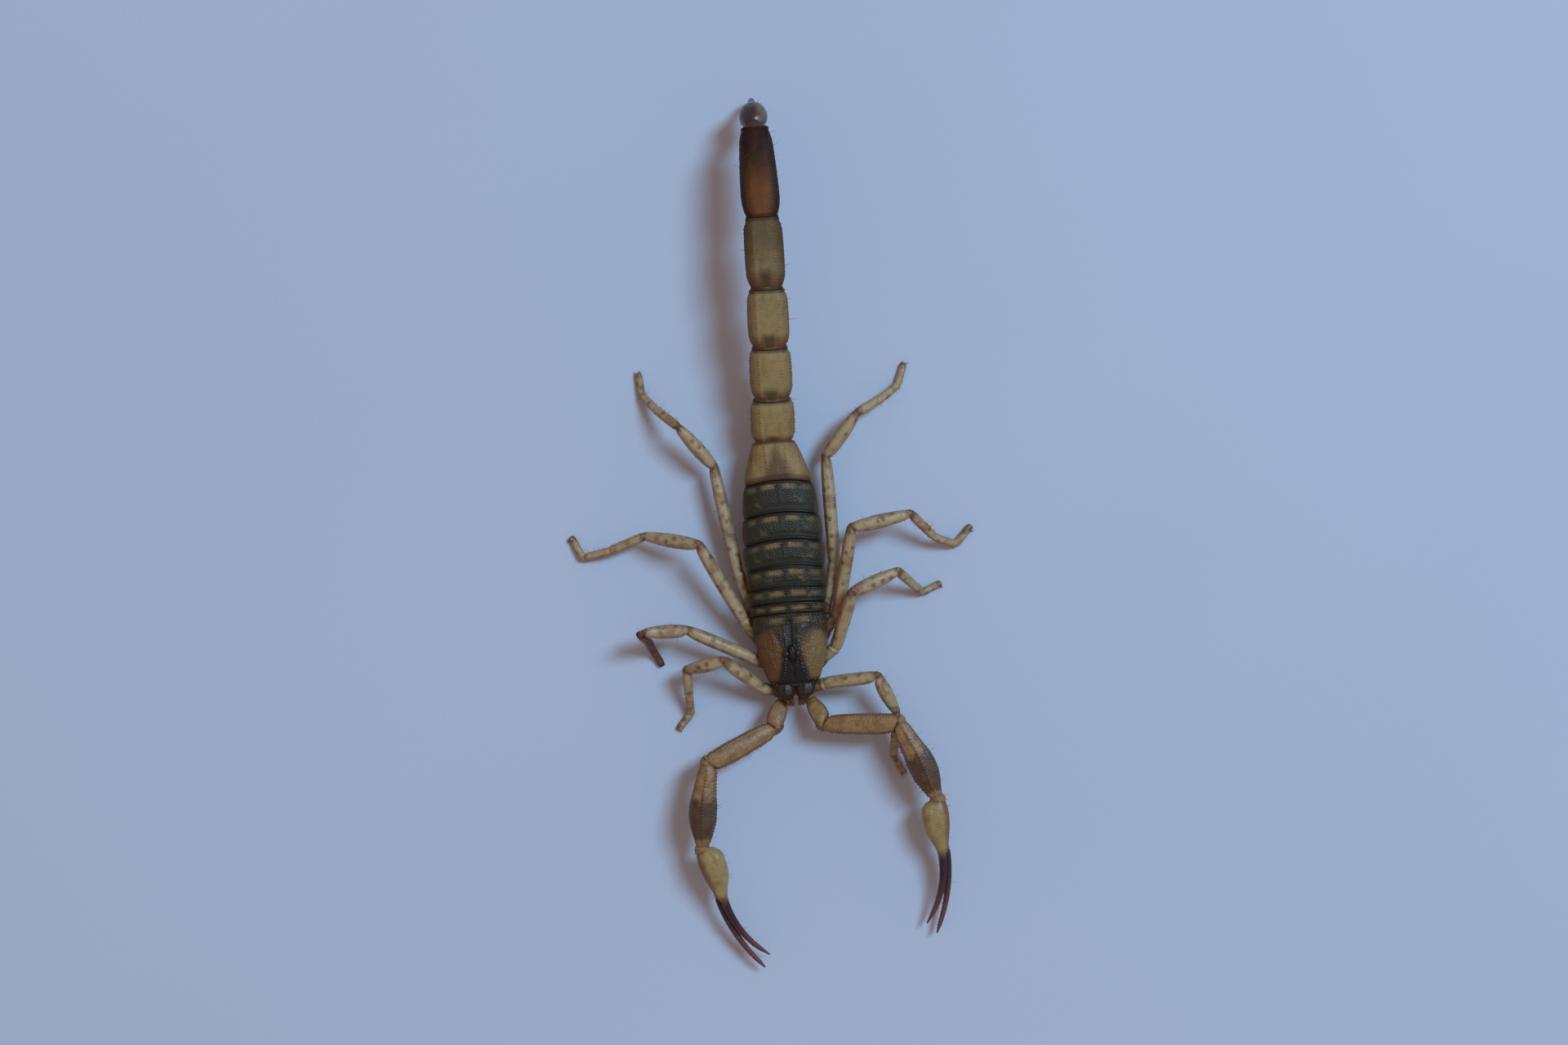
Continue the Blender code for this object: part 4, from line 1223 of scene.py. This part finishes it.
class SCORPION_OT_legs(bpy.types.Operator):
    """Eight walking legs: ridged segments, paired toe claws and the skin in their joints"""

    bl_idname = "scorpion.legs"
    bl_label = "Legs"

    def toe_claw(self):
        """One curved claw of one unit, drawn by extruding a tapering ring round a bend."""
        bpy.ops.object.select_all(action="DESELECT")
        bpy.ops.mesh.primitive_circle_add(vertices=8, radius=0.17, fill_type="NGON")
        claw = bpy.context.object
        bpy.ops.object.mode_set(mode="EDIT")
        bpy.ops.mesh.select_all(action="SELECT")
        for step, size in enumerate((0.95, 0.9, 0.8, 0.7, 0.5)):
            lean = 0.02 * step * step
            bpy.ops.mesh.extrude_region_move(TRANSFORM_OT_translate={"value": (0, -lean, 0.22)})
            bpy.ops.transform.resize(value=(size, size, 1))
        bpy.ops.mesh.select_all(action="SELECT")
        bpy.ops.mesh.normals_make_consistent(inside=False)
        bpy.ops.object.mode_set(mode="OBJECT")
        use(claw, "SUBSURF", levels=1, render_levels=1)
        return claw

    def execute(self, context):
        shell, colours = context.scene.scorpion_shell, context.scene.scorpion_colours
        pale = leg_finish("leg_shell_finish", colours, colours.leg, colours.leg_mark)
        # Painted shade: a dark finish for the one foot that reaches down into shade.
        dark = leg_finish("leg_painted_shade_finish", colours, shade(colours.tail_mark, 2.1), shade(colours.sting, 0.4))
        cream = skin_finish("leg_skin_finish", shade(colours.flank, 1.6), colours.leg_mark)
        horn = sting_finish("toe_claw_finish", colours, 0.4)
        pattern, hook = ring_pattern(), self.toe_claw()
        necks = {1: 0.21, 2: 0.21, 3: 0.2, 4: 0.29}
        for side, sign in SIDES.items():
            for number in LEGS:
                low, high = box("coxosternum")
                before = Vector((MIDLINE, box(f"leg_{number}_{side}_femur")[0].y if number > 1 else low.y + 2, 2.2))
                ends = []
                for part, waists, depth in (
                    ("femur", (necks[number],), 0.07), ("patella", (), 0.0), ("foot", (0.44, 0.75), 0.05)
                ):
                    node = f"leg_{number}_{side}_{part}"
                    piece = refined(copy_of(node, rim=0.08), shell.fine_grain * 1.2, 2, 3, 0.04)
                    course = Course(piece, before, sign, 16)
                    points = spread(piece, "co")
                    heights = np.zeros(len(points))
                    for angle in (62, 118, -60, 240):
                        heights += course.keel(angle, 0.06, 0.09, 0.3, 0.08, 0.92)
                    heights += 0.055 + course.closed(0.09)
                    for waist in waists:
                        heights -= depth * hill(course.along, waist, 0.018)
                        heights += depth * 0.7 * hill(course.along, waist - 0.04, 0.018)
                    seeds = scattered(points, 0.3, number * 7, 150)
                    heights += granules(points, seeds, 0.05, shell.granule / MM * 0.4)
                    level = ease(points[:, 2], 0.02, 0.2)
                    raised(piece, heights * level)
                    course.note(piece)
                    # Painted shade: the right second leg's foot, which reaches down into shade, gets the dark finish.
                    shaded_foot = (number, side, part) == (2, "right", "foot")
                    finished(piece, dark if shaded_foot else pale, "leg_shell", node)
                    ends.append(course.ends())
                    before = middle(node)
                root, leaving, wide = ends[0][0]
                sleeves = [sleeve_between(pattern, (root - leaving * 0.7, leaving, wide), ends[0][0], 0.2, 0.95)]
                sleeves += [
                    sleeve_between(pattern, first[1], second[0], 0.25, 1.02) for first, second in zip(ends, ends[1:])
                ]
                finished(joined(f"leg_{number}_{side}_joint_skin", sleeves), cream, "leg_shell")
                toe, ahead, wide = ends[2][1]
                ahead = Vector((ahead.x, ahead.y, 0)).normalized()
                across = ahead.cross(UP)
                claws = []
                for turn in (1, -1):
                    claw = hook.copy()
                    claw.data = hook.data.copy()
                    bpy.context.collection.objects.link(claw)
                    along = (ahead + across * 0.45 * turn + UP * 0.12).normalized()
                    out = along.cross(UP).normalized()
                    turned = Matrix((out, out.cross(along), along)).transposed().to_4x4()
                    at = Vector((toe.x, toe.y, 0.34)) + across * 0.1 * turn - ahead * 0.15
                    claw.data.transform(Matrix.Translation(at) @ turned @ Matrix.Scale(0.42, 4))
                    claws.append(claw)
                finished(joined(f"leg_{number}_{side}_toe_claws", claws), horn, "leg_shell")
        bpy.data.objects.remove(pattern)
        bpy.data.objects.remove(hook)
        return {"FINISHED"}


class SCORPION_OT_bristles(bpy.types.Operator):
    """Fine bristles on legs, arms, hands and tail"""

    bl_idname = "scorpion.bristles"
    bl_label = "Bristles"

    def bristle(self, thickness):
        """One thin, slightly bent bristle of one unit."""
        bpy.ops.object.select_all(action="DESELECT")
        bpy.ops.mesh.primitive_circle_add(vertices=4, radius=thickness / 2, fill_type="NGON")
        hair = bpy.context.object
        bpy.ops.object.mode_set(mode="EDIT")
        bpy.ops.mesh.select_all(action="SELECT")
        for lean, size in ((0.02, 0.85), (0.06, 0.75), (0.12, 0.3)):
            bpy.ops.mesh.extrude_region_move(TRANSFORM_OT_translate={"value": (0, lean, 0.333)})
            bpy.ops.transform.resize(value=(size, size, 1))
        bpy.ops.mesh.select_all(action="SELECT")
        bpy.ops.mesh.normals_make_consistent(inside=False)
        bpy.ops.object.mode_set(mode="OBJECT")
        return hair

    def execute(self, context):
        shell, colours = context.scene.scorpion_shell, context.scene.scorpion_colours
        finish = bristle_finish("bristle_finish", colours)
        usual = shell.bristle / MM
        groups = {}
        for side in SIDES:
            for number in LEGS:
                for part, count, size in (("femur", 14, 0.8), ("patella", 16, 0.9), ("foot", 46, 0.75)):
                    groups.setdefault(f"leg_bristles_{side}", []).append((f"leg_{number}_{side}_{part}", count, size))
            for part, count, size in (("femur", 26, 1.0), ("patella", 30, 1.1), ("hand", 44, 1.0), ("moving_finger", 26, 0.7)):
                groups.setdefault(f"arm_bristles_{side}", []).append((f"claw_{side}_{part}", count, size))
        for number, count in ((1, 12), (2, 14), (3, 16), (4, 20), (5, 30)):
            groups.setdefault("tail_bristles", []).append((f"metasoma_{number}", count, 1.0))
        groups["tail_bristles"].append(("telson_bulb", 24, 0.8))
        for name, sources in groups.items():
            hair = self.bristle(shell.bristle_thickness / shell.bristle)
            shape = np.array([vert.co for vert in hair.data.vertices])
            faces = [tuple(face.vertices) for face in hair.data.polygons]
            points, skins = [], []
            for order, (node, count, size) in enumerate(sources):
                piece = bpy.data.objects[f"{node}_shell"]
                places, normals = spread(piece, "co") / MM, spread(piece, "normal")
                usable = places[:, 2] > 0.35
                chance = np.random.default_rng(100 + order)
                chosen = chance.choice(np.flatnonzero(usable), count, replace=False)
                course = Course(piece, np.array(middle(node)) * MM)
                for index in chosen:
                    out = Vector(normals[index])
                    tilt = Vector(chance.uniform(-0.5, 0.5, 3))
                    along = (out + tilt).normalized()
                    if places[index][2] + along.z * usual * size < 0.1:
                        along = Vector((along.x, along.y, abs(along.z))).normalized()
                    turned = np.array(along.to_track_quat("Z", "Y").to_matrix())
                    length_ = usual * size * chance.uniform(0.6, 1.3)
                    room = (box("metasoma_5")[1].z + 0.2 - places[index][2]) / max(along.z, 0.05)
                    length_ = min(length_, max(room, 0.1))
                    root = places[index] - np.array(out) * 0.03
                    skins += [tuple(corner + len(shape) * len(points) for corner in face) for face in faces]
                    points.append(root + shape @ turned.T * length_)
            mesh = bpy.data.meshes.new(name)
            mesh.from_pydata(np.concatenate(points).tolist(), [], skins)
            tuft = bpy.data.objects.new(name, mesh)
            bpy.context.collection.objects.link(tuft)
            bpy.data.objects.remove(hair)
            slot = {"l": "leg_shell", "a": "arm_shell", "t": "tail_shell"}[name[0]]
            finished(tuft, finish, slot)
        return {"FINISHED"}


class SCORPION_OT_stage(bpy.types.Operator):
    """Pale floor, soft light from the animal's left and a camera straight above"""

    bl_idname = "scorpion.stage"
    bl_label = "Stage"

    def lamp(self, name, place, wide, tall, power, tint):
        light = bpy.data.lights.new(name, "AREA")
        light.shape, light.size, light.size_y, light.energy, light.color = "ELLIPSE", wide, tall, power, tint
        lamp = bpy.data.objects.new(name, light)
        lamp.location = place
        lamp.rotation_euler = (-Vector(place)).to_track_quat("-Z", "Y").to_euler()
        bpy.context.collection.objects.link(lamp)

    def execute(self, context):
        stage = context.scene.scorpion_stage
        bpy.ops.object.select_all(action="DESELECT")
        bpy.ops.mesh.primitive_grid_add(x_subdivisions=8, y_subdivisions=8, size=3.0)
        floor = bpy.context.object
        floor.name = "floor"
        floor.data.materials.append(floor_finish("floor_finish", stage.floor))
        self.lamp("window", (0.49, 0.28, 0.9), 0.24, 0.42, 8.2, (0.39, 0.7, 1.0))
        world = bpy.data.worlds.new("room")
        world.use_nodes = True
        world.node_tree.nodes["Background"].inputs["Color"].default_value = (1.0, 0.74, 0.654, 1.0)
        world.node_tree.nodes["Background"].inputs["Strength"].default_value = 0.365
        context.scene.world = world
        context.scene.view_settings.view_transform = "Standard"
        camera = bpy.data.objects.new("camera", bpy.data.cameras.new("camera"))
        camera.data.lens = stage.focal
        camera.data.clip_start, camera.data.clip_end = 0.01, 10.0
        camera.location = (MIDLINE * MM + 0.00025, 0.00091, stage.height)
        camera.rotation_euler = (0.0, 0.0, stage.turn)
        bpy.context.collection.objects.link(camera)
        context.scene.camera = camera
        return {"FINISHED"}


OPERATORS = (
    SCORPION_OT_head_shield, SCORPION_OT_eyes, SCORPION_OT_jaws, SCORPION_OT_back, SCORPION_OT_flanks,
    SCORPION_OT_belly, SCORPION_OT_tail, SCORPION_OT_arms, SCORPION_OT_legs, SCORPION_OT_bristles,
    SCORPION_OT_stage,
)
GROUPS = {"scorpion_shell": ScorpionShell, "scorpion_colours": ScorpionColours, "scorpion_stage": ScorpionStage}


class SCORPION_PT_parts(bpy.types.Panel):
    """The scorpion's pieces and their settings"""

    bl_label = "Scorpion"
    bl_space_type = "VIEW_3D"
    bl_region_type = "UI"
    bl_category = "Scorpion"

    def draw(self, context):
        for operator in OPERATORS:
            self.layout.operator(operator.bl_idname)
        for group, kind in GROUPS.items():
            settings = self.layout.box()
            for name in kind.__annotations__:
                settings.prop(getattr(context.scene, group), name)


def register():
    for kind in (*GROUPS.values(), *OPERATORS, SCORPION_PT_parts):
        bpy.utils.register_class(kind)
    for name, kind in GROUPS.items():
        setattr(bpy.types.Scene, name, bpy.props.PointerProperty(type=kind))


def unregister():
    for name in GROUPS:
        delattr(bpy.types.Scene, name)
    for kind in (SCORPION_PT_parts, *reversed(OPERATORS), *GROUPS.values()):
        bpy.utils.unregister_class(kind)


def main():
    register()
    for operator in OPERATORS:
        group, action = operator.bl_idname.split(".")
        getattr(getattr(bpy.ops, group), action)()


if __name__ == "__main__":
    main()
